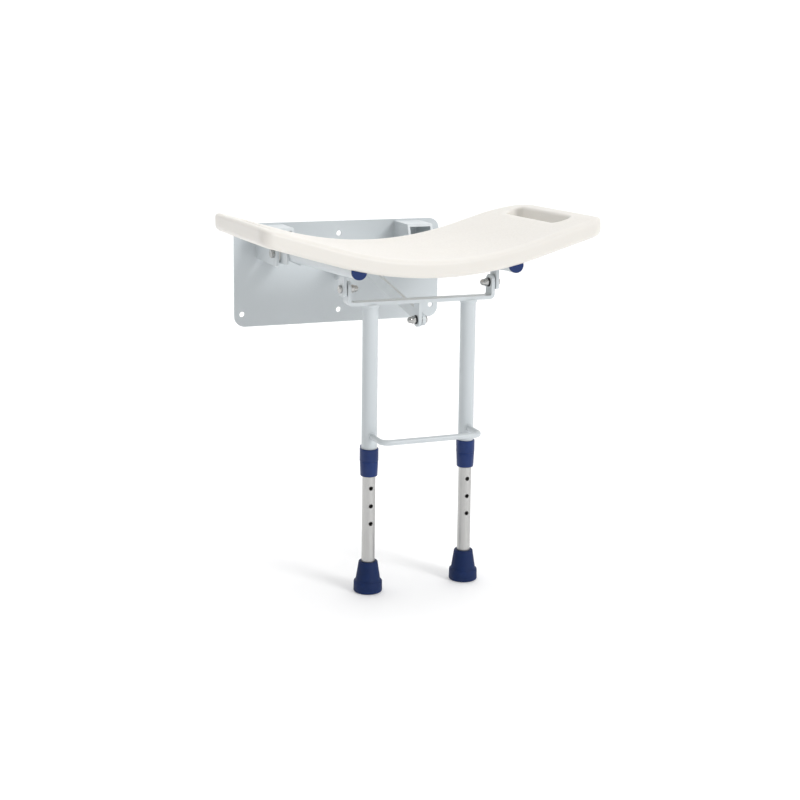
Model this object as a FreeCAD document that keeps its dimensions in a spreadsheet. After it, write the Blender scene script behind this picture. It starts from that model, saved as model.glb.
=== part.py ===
import FreeCAD, Part
import os
import re
import Sketcher

# Fold down wall seat, millimetres.
# X runs along the wall, Y into the wall, Z up. The origin is the centre of the
# wall plate's back face. The seat folds up about the pivot line, the two legs
# hang from a yoke near the front edge and a stay leads them from the wall.

Vector = FreeCAD.Vector
Rotation = FreeCAD.Rotation

SIZES = [
    ("plate_width", 350, "wall plate, along the wall"),
    ("plate_height", 165, "wall plate, up the wall"),
    ("plate_thickness", 4, "wall plate steel"),
    ("plate_corner", 17, "corner radius of the wall plate"),
    ("hole_pitch_across", 162.5, "wall screw holes, three columns"),
    ("hole_pitch_up", 125, "wall screw holes, two rows"),
    ("wall_hole", 9, "wall screw hole diameter"),
    ("pivot_out", 96, "seat pivot line, out from the wall"),
    ("pivot_up", 46.5, "seat pivot line, above the plate's centre"),
    ("recline", 2.5, "degrees that the open seat rises to its front edge"),
    ("bracket_thickness", 4, "wall bracket steel"),
    ("bracket_below", 19.5, "bracket below the pivot line"),
    ("bracket_above", 33.5, "bracket above the pivot line"),
    ("bracket_nose", 14, "bracket in front of the pivot line"),
    ("nose_above", 16, "bracket's low nose above the pivot line"),
    ("web_setback", 34, "bracket's high back ends this far behind the pivot line"),
    ("step_run", 6, "run of the slope from the high back to the low nose"),
    ("nose_radius", 10, "bracket's upper front corner"),
    ("chin_radius", 4, "bracket's lower front corner"),
    ("pivot_bolt", 8, "bolts of the seat and leg pivots"),
    ("bolt_clearance", 0.2, "hole over bolt, on the diameter"),
    ("bolt_flats", 13, "bolt heads and nuts, across flats"),
    ("bolt_head", 5.3, "bolt head height"),
    ("lock_nut", 8, "plain lock nut height"),
    ("dome_nut", 13.5, "dome nut height"),
    ("dome_nut_hex", 6.5, "dome nut, height of its hexagon"),
    ("thread_in_nut", 8, "bolt inside its nut"),
    ("spacer_thickness", 3.5, "nylon spacer between bracket and seat tube"),
    ("spacer_diameter", 24, "nylon spacer"),
    ("tube_spread", 117, "seat tube axis from the middle"),
    ("tube_diameter", 22.2, "seat tubes and upper legs"),
    ("tube_wall", 1.5, "wall of all four steel tubes"),
    ("tube_tail", 13, "seat tube behind the pivot line"),
    ("tube_recess", 11, "seat tube's front end behind the panel's front edge"),
    ("sleeve_diameter", 12, "pivot sleeve through the seat tube"),
    ("cheek_thickness", 3, "cheek plates on the seat tube"),
    ("cheek_height", 30, "cheek plates"),
    ("cheek_length", 42, "cheek plate in front of the pivot line"),
    ("cap_thickness", 3.5, "tube end cap outside the tube"),
    ("cap_edge", 1.2, "rounded edge of the end cap"),
    ("cap_plug", 12, "tube end cap inside the tube"),
    ("screw_rear", 78, "rear seat screws in front of the pivot line"),
    ("screw_front", 286, "front seat screws in front of the pivot line"),
    ("screw_diameter", 5, "seat screw"),
    ("screw_head", 9.5, "seat screw head diameter"),
    ("screw_head_height", 3, "seat screw head"),
    ("screw_bite", 8, "seat screw inside the panel"),
    ("access_length", 34, "screw access slot under the tube"),
    ("access_width", 11, "screw access slot under the tube"),
    ("panel_width", 508, "seat panel, along the wall"),
    ("panel_rear", 22, "panel's rear edge in front of the pivot line"),
    ("panel_depth", 302, "seat panel, from rear to front edge"),
    ("panel_thickness", 26, "seat panel"),
    ("panel_top", 10, "middle of the panel's top above the tube axis"),
    ("panel_sweep", 555, "radius of the panel's hollow top"),
    ("rear_corner", 60, "panel's rear corners"),
    ("front_corner", 42, "panel's front corners"),
    ("panel_round", 7, "rounded rim of the panel"),
    ("slot_inset", 32, "hand slot's middle line from the panel's side"),
    ("slot_width", 28, "hand slot"),
    ("slot_length", 170, "hand slot"),
    ("slot_corner", 12, "hand slot corners"),
    ("slot_round", 4, "rounded rim of the hand slot"),
    ("channel_gap", 0.3, "panel channel around the tube"),
    ("leg_reach", 247, "leg pivot in front of the seat pivot"),
    ("leg_drop", 30, "leg pivot below the seat tube's axis"),
    ("lug_thickness", 4.5, "lugs of the leg pivots and of the stay"),
    ("lug_inset", 3, "leg lug's inner face inside the tube's axis"),
    ("lug_width", 20, "lugs and yoke bar"),
    ("lug_corner", 4, "leg lug's lower corners"),
    ("lug_gap", 2, "washer between leg lug and yoke"),
    ("yoke_thickness", 5, "yoke bar"),
    ("yoke_drop", 23.5, "yoke's underside below the leg pivot"),
    ("yoke_top", 11.5, "yoke's ends above the leg pivot"),
    ("yoke_bend", 7.5, "yoke's outer bend radius"),
    ("yoke_round", 9.5, "rounded ends of the yoke and of the stay lug"),
    ("washer_thickness", 1.6, "black washer under a dome nut"),
    ("washer_diameter", 17, "black washer under a dome nut"),
    ("leg_spread", 75, "leg axis from the middle"),
    ("sleeve_end", 247.5, "lower end of the upper leg below the leg pivot"),
    ("slide_gap", 0.2, "upper leg's bore over the lower leg, on the diameter"),
    ("lower_wall", 1.5, "wall of the lower leg"),
    ("lower_top", 170, "lower leg's upper end below the leg pivot"),
    ("floor_drop", 441, "floor below the leg pivot"),
    ("hole_pitch", 26, "leg holes"),
    ("hole_count", 7, "leg holes"),
    ("first_hole", 183, "topmost leg hole below the leg pivot"),
    ("lock_count", 2, "leg holes above the one that is locked"),
    ("leg_hole", 6.2, "leg hole diameter"),
    ("foot_height", 45, "rubber foot"),
    ("foot_diameter", 36, "rubber foot at the floor"),
    ("foot_top", 27, "rubber foot at its rim"),
    ("foot_band", 20, "thick base band of the foot"),
    ("foot_step", 1.2, "step above the base band"),
    ("foot_sole", 5, "rubber under the lower leg"),
    ("collar_top", 230, "collar's top below the leg pivot"),
    ("collar_height", 40, "collar, from top to bottom"),
    ("collar_diameter", 26.8, "collar around the upper leg"),
    ("collar_neck", 23.4, "collar around the lower leg"),
    ("collar_gap", 0.3, "collar's bore over the lower leg, on the diameter"),
    ("collar_round", 2, "collar's rounded rims"),
    ("lock_reach", 3, "lock saddle behind the collar"),
    ("lock_height", 13, "lock saddle"),
    ("lock_width", 16, "lock saddle"),
    ("lock_play", 0.2, "lock pin and saddle from what they sit in"),
    ("rod_diameter", 8, "stretcher rod"),
    ("rod_drop", 210.5, "stretcher rod below the leg pivot"),
    ("rod_reach", 52, "stretcher rod in front of the legs"),
    ("rod_bend", 12, "stretcher rod's bend radius at its axis"),
    ("stay_drop", 49, "stay pivot below the leg pivot"),
    ("stay_lug_left", -5.5, "left face of both stay lugs"),
    ("stay_gap", 2, "washer between a lug and the stay"),
    ("stay_thickness", 5, "stay bar"),
    ("stay_width", 17, "stay bar"),
    ("stay_slack", 1.2, "free travel at each end of the stay's slot"),
    ("slot_play", 4, "stay's slot wider than its bolt"),
    ("stay_end", 5, "metal past the stay's slot"),
    ("anchor_out", 121, "stay's wall bolt, out from the wall"),
    ("anchor_up", 20.5, "stay's wall bolt above the plate's centre"),
    ("anchor_bolt", 6, "stay's wall bolt"),
    ("anchor_flats", 10, "its head and nut across flats"),
    ("anchor_head", 4, "its head height"),
    ("anchor_nut", 6, "its nut height"),
    ("anchor_root", 34, "stay bracket's foot below its bolt"),
]

NAMES = [row[0] for row in SIZES]
TUBE_RADIUS = "tube_diameter / 2"
LOWER_DIAMETER = "(tube_diameter - 2 * tube_wall - slide_gap)"
HALF_GAP = "(tube_diameter / 2 + cheek_thickness + spacer_thickness)"
BOLT_HOLE = "(pivot_bolt + bolt_clearance)"
TUBE_FRONT = "(panel_rear + panel_depth - tube_recess)"
SLOT_SPREAD = "(panel_width / 2 - slot_inset)"
LUG_INNER = "(tube_spread - lug_inset)"
YOKE_HALF = "(tube_spread - lug_inset - lug_gap)"
STAY_LEFT = "(stay_lug_left + lug_thickness + stay_gap)"
LEG_OUT = "(pivot_out + leg_reach * cos(recline * 1deg) + leg_drop * sin(recline * 1deg))"
LEG_UP = "(pivot_up + leg_reach * sin(recline * 1deg) - leg_drop * cos(recline * 1deg))"
LOCK_DROP = "(first_hole + lock_count * hole_pitch)"
COLLAR_END = "(collar_top + collar_height)"
STAY_RUN = "(%s - anchor_out)" % LEG_OUT
STAY_RISE = "(anchor_up - %s + stay_drop)" % LEG_UP
STAY_LENGTH = "sqrt(%s ^ 2 + %s ^ 2)" % (STAY_RUN, STAY_RISE)
CRANK = "sqrt(leg_reach ^ 2 + leg_drop ^ 2)"
OFFSET = "sqrt((anchor_out - pivot_out) ^ 2 + (anchor_up - pivot_up + stay_drop) ^ 2)"

doc = FreeCAD.newDocument("wall_seat")
nodes = []


def make_sheet():
    sheet = doc.addObject("Spreadsheet::Sheet", "Sizes")
    for row, (name, value, note) in enumerate(SIZES, 1):
        sheet.set("A%d" % row, note)
        sheet.set("B%d" % row, str(value))
        sheet.setAlias("B%d" % row, name)
    doc.recompute()
    return sheet


def bound(text):
    """An expression with each size's name pointed at the sheet."""
    swap = lambda match: "Sizes." + match.group(0) if match.group(0) in NAMES else match.group(0)
    return re.sub(r"[a-z]+(?:_[a-z]+)+|recline", swap, str(text))


def size(text):
    """The number that an expression gives."""
    return float(sheet.evalExpression(bound(text)))


def bind(item, **expressions):
    """Tie properties of a document object to expressions."""
    for name, text in expressions.items():
        item.setExpression(name.replace("__", "."), bound(text))


class Piece:
    """One body made of sketched pads, pockets, turned forms and fillets."""

    def __init__(self, label):
        self.body = doc.addObject("PartDesign::Body", "Body_" + label)
        self.body.Label = label
        self.label = label

    def plane(self, name):
        role = name + "_Plane"
        return next(item for item in self.body.Origin.OriginFeatures if item.Role == role)

    def sketch(self, plane, start, outlines=(), circles=()):
        """A sketch on an origin plane: outlines are lists of corners, circles x, y, diameter."""
        drawing = self.body.newObject("Sketcher::SketchObject", "Sketch")
        drawing.AttachmentSupport = [(self.plane(plane), "")]
        drawing.MapMode = "FlatFace"
        bind(drawing, AttachmentOffset__Base__z=start)
        for corners in outlines:
            draw_outline(drawing, corners)
        for x, y, diameter in circles:
            draw_circle(drawing, x, y, diameter)
        return drawing

    def extrude(self, kind, plane, start, stop, outlines, circles, both):
        drawing = self.sketch(plane, start, outlines, circles)
        feature = self.body.newObject("PartDesign::" + kind, kind)
        feature.Profile = drawing
        if both:
            feature.SideType = "Symmetric"
        elif kind == "Pocket":
            feature.Reversed = True
        bind(feature, Length="(%s) - (%s)" % (stop, start) if not both else stop)
        return feature

    def pad(self, plane, start, stop, outlines=(), circles=(), both=False):
        """Add material from start to stop along the plane's normal, or stop in all about it."""
        return self.extrude("Pad", plane, start, stop, outlines, circles, both)

    def cut(self, plane, start, stop, outlines=(), circles=(), both=False):
        """Take material away, as pad adds it, and test that some went."""
        before = self.volume()
        feature = self.extrude("Pocket", plane, start, stop, outlines, circles, both)
        if self.volume() > before - 0.1:
            raise ValueError("a cut in %s takes nothing away" % self.label)
        return feature

    def turn(self, corners):
        """Turn a profile of radius, height corners about the Z axis."""
        drawing = self.sketch("XZ", "0", [corners])
        feature = self.body.newObject("PartDesign::Revolution", "Revolution")
        feature.Profile = drawing
        feature.ReferenceAxis = (drawing, ["V_Axis"])
        feature.Angle = 360
        return feature

    def volume(self):
        doc.recompute()
        return self.body.Shape.Volume

    def fillet(self, radius, chosen):
        """Round the edges that the test chooses."""
        doc.recompute()
        tip = self.body.Tip
        names = ["Edge%d" % n for n, edge in enumerate(tip.Shape.Edges, 1) if chosen(edge)]
        if not names:
            raise ValueError("no edge to round in %s" % self.label)
        feature = self.body.newObject("PartDesign::Fillet", "Fillet")
        feature.Base = (tip, names)
        bind(feature, Radius=radius)
        return feature


def draw_outline(drawing, corners):
    """Straight lines between corners, each corner held by its two distances."""
    spots = [(size(x), size(y)) for x, y in corners]
    first = drawing.GeometryCount
    count = len(corners)
    for n, (x, y) in enumerate(spots):
        far_x, far_y = spots[(n + 1) % count]
        drawing.addGeometry(Part.LineSegment(Vector(x, y, 0), Vector(far_x, far_y, 0)))
    for n in range(count):
        drawing.addConstraint(Sketcher.Constraint("Coincident", first + n, 2, first + (n + 1) % count, 1))
    for n, corner in enumerate(corners):
        hold_point(drawing, first + n, 1, corner, spots[n])


def draw_circle(drawing, x, y, diameter):
    spot = (size(x), size(y))
    ring = drawing.addGeometry(Part.Circle(Vector(spot[0], spot[1], 0), Vector(0, 0, 1), size(diameter) / 2))
    hold_point(drawing, ring, 3, (x, y), spot)
    index = drawing.addConstraint(Sketcher.Constraint("Diameter", ring, size(diameter)))
    drawing.setExpression("Constraints[%d]" % index, bound(diameter))


def hold_point(drawing, item, end, texts, spot):
    for kind, text, value in zip(("DistanceX", "DistanceY"), texts, spot):
        index = drawing.addConstraint(Sketcher.Constraint(kind, item, end, value))
        drawing.setExpression("Constraints[%d]" % index, bound(text))


def box(left, right, low, high):
    """A rectangle's corners from its four sides."""
    return [(left, low), (right, low), (right, high), (left, high)]


def along(axis, spot=None):
    """A test for straight edges along an axis, and through a given place if one is named."""
    def chosen(edge):
        if edge.Curve.TypeId != "Part::GeomLine":
            return False
        way = edge.tangentAt(edge.FirstParameter)
        return abs(abs(way.dot(axis)) - 1) < 1e-6 and (spot is None or spot(edge.CenterOfMass))
    return chosen


X_AXIS = Vector(1, 0, 0)
Y_AXIS = Vector(0, 1, 0)
Z_AXIS = Vector(0, 0, 1)


def at_wall(item, x="0", y="0", z="0"):
    bind(item, Placement__Base__x=x, Placement__Base__y=y, Placement__Base__z=z)


def at_seat(item):
    """Place a piece drawn about the seat pivot: out from the wall, turned by the recline."""
    item.Placement = FreeCAD.Placement(Vector(), Rotation(Vector(-1, 0, 0), 1))
    bind(item, Placement__Rotation__Angle="recline")
    at_wall(item, "0", "-pivot_out", "pivot_up")


def at_leg(item, x="0", y="0", z="0"):
    """Place a piece drawn about the leg pivot, which hangs upright."""
    at_wall(item, x, "-%s + %s" % (LEG_OUT, y), "%s + %s" % (LEG_UP, z))


def keep(item, label=None):
    """List a finished piece under the name of its file."""
    if label:
        item.Label = label
    nodes.append(item)
    return item


def cylinder(diameter, length, way, x="0", y="0", z="0"):
    """A plain cylinder from a point, along a given way."""
    item = doc.addObject("Part::Cylinder", "Cylinder")
    item.Placement = FreeCAD.Placement(Vector(), Rotation(Z_AXIS, way))
    bind(item, Radius="(%s) / 2" % diameter, Height=length)
    at_wall(item, x, y, z)
    return item


def block(length, width, height, x, y, z):
    item = doc.addObject("Part::Box", "Box")
    bind(item, Length=length, Width=width, Height=height)
    at_wall(item, x, y, z)
    return item


def cut_away(base, tools):
    """One piece less a list of others."""
    cutter = doc.addObject("Part::Compound", "Cutters")
    cutter.Links = tools
    result = doc.addObject("Part::Cut", "Cut")
    result.Base = base
    result.Tool = cutter
    doc.recompute()
    if result.Shape.Volume > base.Shape.Volume - 0.1:
        raise ValueError("a cut takes nothing away")
    return result


def hexagon(flats):
    """Corners of a hexagon from its width across flats."""
    half = "%s / 2" % flats
    short = "%s / sqrt(12)" % flats
    tall = "%s / sqrt(3)" % flats
    right = [(half, short), ("0", tall), ("-%s" % half, short)]
    left = [("-%s" % half, "-%s" % short), ("0", "-%s" % tall), (half, "-%s" % short)]
    return right + left


def bolt(name, diameter, length, flats, head):
    """A hexagon bolt: its head below the origin plane, its shank above."""
    piece = Piece(name)
    piece.pad("XY", "-%s" % head, "0", [hexagon(flats)])
    piece.pad("XY", "0", length, circles=[("0", "0", diameter)])
    return piece.body


def nut(name, diameter, flats, height):
    piece = Piece(name)
    piece.pad("XY", "0", height, [hexagon(flats)], [("0", "0", diameter)])
    return piece.body


def dome_nut(name):
    """A hexagon nut closed by a dome, with a blind thread."""
    piece = Piece(name)
    piece.pad("XY", "0", "dome_nut_hex", [hexagon("bolt_flats")])
    rim = "bolt_flats * 0.4"
    crown = "bolt_flats * 0.2"
    shoulder = "dome_nut_hex + (dome_nut - dome_nut_hex) * 0.6"
    piece.turn([("0", "0"), (rim, "0"), (rim, shoulder), (crown, "dome_nut"), ("0", "dome_nut")])
    round_edge = lambda edge: edge.Closed and edge.BoundBox.ZMin > size("dome_nut_hex") + 0.5
    piece.fillet("bolt_flats * 0.12", round_edge)
    piece.cut("XY", "0", "thread_in_nut", circles=[("0", "0", "pivot_bolt")])
    return piece.body


def ring(name, outer, inner, height):
    """A flat ring standing on the origin plane."""
    piece = Piece(name)
    piece.pad("XY", "0", height, circles=[("0", "0", outer), ("0", "0", inner)])
    return piece.body


def group(label, body, spots):
    """Copies of one body, each at a point and turned to face a way, as one named piece."""
    doc.recompute()
    copies = []
    for way, x, y, z in spots:
        copy = body.Shape.copy()
        copy.Placement = FreeCAD.Placement(Vector(size(x), size(y), size(z)), Rotation(Z_AXIS, way))
        copies.append(copy)
    item = doc.addObject("Part::Feature", "Group_" + label)
    item.Shape = Part.makeCompound(copies)
    return keep(item, label)


def pair(x, y="0", z="0", inward=True):
    """The two mirrored spots of a fastener that faces the middle, or faces away from it."""
    way = -1 if inward else 1
    return [(X_AXIS * -way, "-(%s)" % x, y, z), (X_AXIS * way, x, y, z)]


def make_wall_plate():
    piece = Piece("wall_plate")
    half = ("plate_width / 2", "plate_height / 2")
    corners = box("-" + half[0], half[0], "-" + half[1], half[1])
    piece.pad("XZ", "0", "plate_thickness", [corners])
    piece.fillet("plate_corner", along(Y_AXIS))
    holes = [("%d * hole_pitch_across" % column, "%s * hole_pitch_up / 2" % row, "wall_hole")
             for column in (-1, 0, 1) for row in (-1, 1)]
    piece.cut("XZ", "0", "plate_thickness", circles=holes)
    keep(piece.body)


def make_wall_bracket(label, side):
    """A channel with its web on top, welded to the plate around the seat tube's end."""
    piece = Piece(label)
    nose = "-(pivot_out + bracket_nose)"
    low, high = "pivot_up - bracket_below", "pivot_up + bracket_above"
    outer = "2 * (%s + bracket_thickness)" % HALF_GAP
    inner = "2 * %s" % HALF_GAP
    back, slope = "-(pivot_out - web_setback)", "-(pivot_out - web_setback + step_run)"
    shoulder = "pivot_up + nose_above"
    side_view = [(nose, low), ("-plate_thickness", low), ("-plate_thickness", high), (back, high),
                 (slope, shoulder), (nose, shoulder)]
    piece.pad("YZ", "0", outer, [side_view], both=True)
    front = lambda up: lambda spot: spot.y < size(nose) + 1 and (spot.z > size("pivot_up")) == up
    piece.fillet("nose_radius", along(X_AXIS, front(True)))
    piece.fillet("chin_radius", along(X_AXIS, front(False)))
    under_web = box(nose + " - 5", "-plate_thickness", low + " - 5", high + " - bracket_thickness")
    piece.cut("YZ", "0", inner, [under_web], both=True)
    piece.cut("YZ", "0", outer + " + 10", circles=[("-pivot_out", "pivot_up", BOLT_HOLE)], both=True)
    at_wall(piece.body, "%d * tube_spread" % side)
    keep(piece.body)


def make_stay_bracket():
    """A tapered lug, welded upright to the plate's middle, that carries the stay's wall bolt."""
    piece = Piece("stay_bracket")
    tip = "-(anchor_out + stay_width / 2)"
    top = "anchor_up + stay_width / 2"
    low = "anchor_up - stay_width / 2"
    corners = [("-plate_thickness", "anchor_up - anchor_root"), ("-plate_thickness", top), (tip, top),
               (tip, low), ("-anchor_out + stay_width", low)]
    piece.pad("YZ", "stay_lug_left", "stay_lug_left + lug_thickness", [corners])
    piece.fillet("stay_width / 2 - 0.5", along(X_AXIS, lambda spot: spot.y < size(tip) + 1))
    hole = [("-anchor_out", "anchor_up", "anchor_bolt + bolt_clearance")]
    piece.cut("YZ", "stay_lug_left - 1", "stay_lug_left + lug_thickness + 1", circles=hole)
    keep(piece.body)


def make_wall_fasteners():
    outside = "tube_spread + %s + bracket_thickness" % HALF_GAP
    inside = "tube_spread - %s - bracket_thickness" % HALF_GAP
    span = "2 * (%s + bracket_thickness) + lock_nut" % HALF_GAP
    spot = ("-pivot_out", "pivot_up")
    shank = bolt("pivot_bolt_form", "pivot_bolt", span, "bolt_flats", "bolt_head")
    group("wall_pivot_bolts", shank, pair(outside, *spot))
    end = nut("lock_nut_form", "pivot_bolt", "bolt_flats", "lock_nut")
    group("wall_pivot_nuts", end, pair(inside, *spot))
    spacer = ring("spacer_form", "spacer_diameter", BOLT_HOLE, "spacer_thickness")
    near = "tube_spread - tube_diameter / 2 - cheek_thickness"
    far = "tube_spread + tube_diameter / 2 + cheek_thickness"
    group("wall_pivot_spacers", spacer, pair(near, *spot) + pair(far, *spot, inward=False))
    anchor = ("-anchor_out", "anchor_up")
    span = "stay_thickness + 2 * stay_gap + lug_thickness + anchor_nut"
    shank = bolt("anchor_bolt_form", "anchor_bolt", span, "anchor_flats", "anchor_head")
    outer = "%s + stay_thickness" % STAY_LEFT
    group("stay_wall_bolt", shank, [(-X_AXIS, outer + " + stay_gap", *anchor)])
    end = nut("anchor_nut_form", "anchor_bolt", "anchor_flats", "anchor_nut")
    group("stay_wall_nut", end, [(-X_AXIS, "stay_lug_left", *anchor)])
    washer = ring("anchor_washer_form", "stay_width - 3", "anchor_bolt + bolt_clearance", "stay_gap")
    faces = ("stay_lug_left + lug_thickness", outer)
    group("stay_wall_washers", washer, [(X_AXIS, face, *anchor) for face in faces])


def make_seat_tube(label, side):
    """A round tube with its pivot cross hole, seat screw holes and access slots below."""
    piece = Piece(label)
    axis = "%d * tube_spread" % side
    bore = "tube_diameter - 2 * tube_wall"
    rings = [(axis, "0", "tube_diameter"), (axis, "0", bore)]
    piece.pad("XZ", "-tube_tail", TUBE_FRONT, circles=rings)
    sleeve = [("0", "0", "sleeve_diameter")]
    piece.cut("YZ", "0", "2 * (tube_spread + tube_diameter)", circles=sleeve, both=True)
    for place in ("screw_rear", "screw_front"):
        piece.cut("XY", "0", TUBE_RADIUS + " + 1", circles=[(axis, "-" + place, "screw_diameter")])
        half = "(access_length - access_width) / 2"
        ends = [(axis, "-%s %s %s" % (place, sign, half), "access_width") for sign in "+-"]
        left, right = axis + " - access_width / 2", axis + " + access_width / 2"
        middle = box(left, right, "-%s - %s" % (place, half), "-%s + %s" % (place, half))
        piece.cut("XY", "-%s - 1" % TUBE_RADIUS, "0", circles=ends)
        piece.cut("XY", "-%s - 1" % TUBE_RADIUS, "0", [middle])
    at_seat(piece.body)
    keep(piece.body)


def make_cheeks(label, side):
    """Two plates welded to the sides of one seat tube around the pivot."""
    plates = []
    for edge in (-1, 1):
        piece = Piece("%s_plate" % label)
        half = "cheek_height / 2"
        profile = box("-cheek_length", half, "-" + half, half)
        inner = "tube_spread * %d + %d * %s" % (side, edge, TUBE_RADIUS)
        outer = inner + " + %d * cheek_thickness" % edge
        start, stop = (inner, outer) if edge > 0 else (outer, inner)
        piece.pad("YZ", start, stop, [profile])
        piece.fillet("cheek_height / 2 - 0.5", along(X_AXIS, lambda spot: spot.y > 0))
        piece.fillet("chin_radius", along(X_AXIS, lambda spot: spot.y < 0))
        piece.cut("YZ", start + " - 1", stop + " + 1", circles=[("0", "0", "sleeve_diameter")])
        plates.append(piece.body)
    joined = doc.addObject("Part::Compound", "Cheeks_" + label)
    joined.Links = plates
    at_seat(joined)
    keep(joined, label)


def make_leg_lug(label, side):
    """A plate welded under the seat tube, saddled to it, with the leg's pivot hole."""
    piece = Piece(label)
    near, far = LUG_INNER, "(%s + lug_thickness)" % LUG_INNER
    start, stop = (near, far) if side > 0 else ("-" + far, "-" + near)
    half = "lug_width / 2"
    profile = box("-leg_reach - " + half, "-leg_reach + " + half, "-leg_drop - " + half, "0")
    piece.pad("YZ", start, stop, [profile])
    piece.fillet("lug_corner", along(X_AXIS, lambda spot: spot.z < -1))
    saddle = [("%d * tube_spread" % side, "0", "tube_diameter")]
    piece.cut("XZ", "leg_reach - lug_width", "leg_reach + lug_width", circles=saddle)
    hole = [("-leg_reach", "-leg_drop", BOLT_HOLE)]
    piece.cut("YZ", start + " - 1", stop + " + 1", circles=hole)
    at_seat(piece.body)
    keep(piece.body)


def make_tube_cap(label, side):
    """A domed blue plug in the front end of a seat tube."""
    piece = Piece("tube_cap_form")
    bore = "(tube_diameter / 2 - tube_wall)"
    edge = "(tube_diameter / 2)"
    corners = [("0", "-cap_plug"), (bore, "-cap_plug"), (bore, "0"), (edge, "0"), (edge, "cap_thickness"),
               ("0", "cap_thickness")]
    piece.turn(corners)
    piece.fillet("cap_edge", lambda e: e.Closed and e.BoundBox.ZMin > size("cap_thickness") - 0.01)
    cap = group(label, piece.body, [(-Y_AXIS, "%d * tube_spread" % side, "-" + TUBE_FRONT, "0")])
    at_seat(cap)


def make_seat_panel():
    """A blow moulded panel: a swept band cut to its outline, rounded, slotted and channelled."""
    plan = Piece("panel_plan")
    rear, front = "-panel_rear", "-(panel_rear + panel_depth)"
    plan.pad("XY", "-200", "300", [box("-panel_width / 2", "panel_width / 2", front, rear)])
    plan.fillet("rear_corner", along(Z_AXIS, lambda spot: spot.y > size(rear) - 1))
    plan.fillet("front_corner", along(Z_AXIS, lambda spot: spot.y < size(front) + 1))
    centre = "panel_top + panel_sweep"
    outer = cylinder("2 * (panel_sweep + panel_thickness)", "2 * panel_depth", -Y_AXIS, z=centre)
    inner = cylinder("2 * panel_sweep", "2 * panel_depth", -Y_AXIS, z=centre)
    band = cut_away(outer, [inner])
    lower = block("panel_width + 20", "2 * panel_depth", "panel_sweep", "-panel_width / 2 - 10",
                  "-2 * panel_depth", centre + " - 1.2 * panel_sweep")
    trough = doc.addObject("Part::MultiCommon", "Trough")
    trough.Shapes = [band, lower, plan.body]
    rimmed = rounded(trough, "panel_round", is_rim)
    slots = [slot_cutter(side) for side in (-1, 1)]
    slotted = rounded(cut_away(rimmed, slots), "slot_round", is_slot_rim)
    panel = cut_away(slotted, [channel_cutter(side) for side in (-1, 1)] + screw_bores())
    at_seat(panel)
    keep(panel, "seat_panel")


def is_rim(edge):
    """True for the edges around the panel's top and bottom faces."""
    return not along(Z_AXIS)(edge)


def is_slot_rim(edge):
    """True for the edges around the upper and lower mouths of the hand slots."""
    middle = edge.CenterOfMass
    reach = size("panel_width / 2 - panel_round")
    inside = abs(abs(middle.x) - size(SLOT_SPREAD)) < size("slot_width / 2") + 1
    span = abs(middle.y + size("panel_rear + panel_depth / 2")) < size("slot_length / 2") + 1
    return inside and span and abs(middle.x) < reach and not along(Z_AXIS)(edge)


def rounded(base, radius, chosen):
    """A piece with the chosen edges rounded."""
    doc.recompute()
    item = doc.addObject("Part::Fillet", "Rounded")
    item.Base = base
    edges = [n for n, edge in enumerate(base.Shape.Edges, 1) if chosen(edge)]
    item.Edges = [(n, size(radius), size(radius)) for n in edges]
    doc.recompute()
    if item.Shape.isNull() or not item.Shape.isValid():
        raise ValueError("rounding %s failed" % base.Label)
    return item


def slot_cutter(side):
    piece = Piece("hand_slot_form")
    middle = "-(panel_rear + panel_depth / 2)"
    left = "%d * %s - slot_width / 2" % (side, SLOT_SPREAD)
    right = "%d * %s + slot_width / 2" % (side, SLOT_SPREAD)
    ends = (middle + " - slot_length / 2", middle + " + slot_length / 2")
    piece.pad("XY", "-200", "300", [box(left, right, *ends)])
    piece.fillet("slot_corner", along(Z_AXIS))
    return piece.body


def channel_cutter(side):
    """The groove that a seat tube and its cheeks lie in, open to below and to the rear."""
    piece = Piece("channel_form")
    axis = "%d * tube_spread" % side
    reach = "(tube_diameter / 2 + channel_gap)"
    stop = TUBE_FRONT + " + cap_thickness + channel_gap"
    piece.pad("XZ", "0", stop, [box(axis + " - " + reach, axis + " + " + reach, "-60", "0")])
    piece.pad("XZ", "0", stop, circles=[(axis, "0", "2 * " + reach)])
    side = "(%s + cheek_thickness)" % reach
    cheeks = box(axis + " - " + side, axis + " + " + side, "-60", "cheek_height / 2 + channel_gap")
    piece.pad("XZ", "0", "cheek_length + channel_gap", [cheeks])
    return piece.body


def screw_bores():
    """Bores for the four seat screws, up from the channels."""
    deep = TUBE_RADIUS + " + screw_bite"
    return [cylinder("screw_diameter", deep, Z_AXIS, "%d * tube_spread" % side, "-" + place)
            for side in (-1, 1) for place in ("screw_rear", "screw_front")]


def make_seat_screws():
    """Four pan head screws inside the tubes, up through their top walls into the panel."""
    piece = Piece("seat_screw_form")
    bore = "(tube_diameter / 2 - tube_wall)"
    seat = "sqrt(%s ^ 2 - (screw_head / 2) ^ 2)" % bore
    piece.pad("XY", "%s - screw_head_height" % seat, seat, circles=[("0", "0", "screw_head")])
    piece.pad("XY", seat, TUBE_RADIUS + " + screw_bite", circles=[("0", "0", "screw_diameter")])
    spots = [(Z_AXIS, "%d * tube_spread" % side, "-" + place, "0")
             for side in (-1, 1) for place in ("screw_rear", "screw_front")]
    at_seat(group("seat_screws", piece.body, spots))


def make_pivot_sleeves():
    length = "tube_diameter + 2 * cheek_thickness"
    sleeve = ring("sleeve_form", "sleeve_diameter", BOLT_HOLE, length)
    start = "tube_spread - tube_diameter / 2 - cheek_thickness"
    at_seat(group("pivot_sleeves", sleeve, pair(start, inward=False)))


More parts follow.
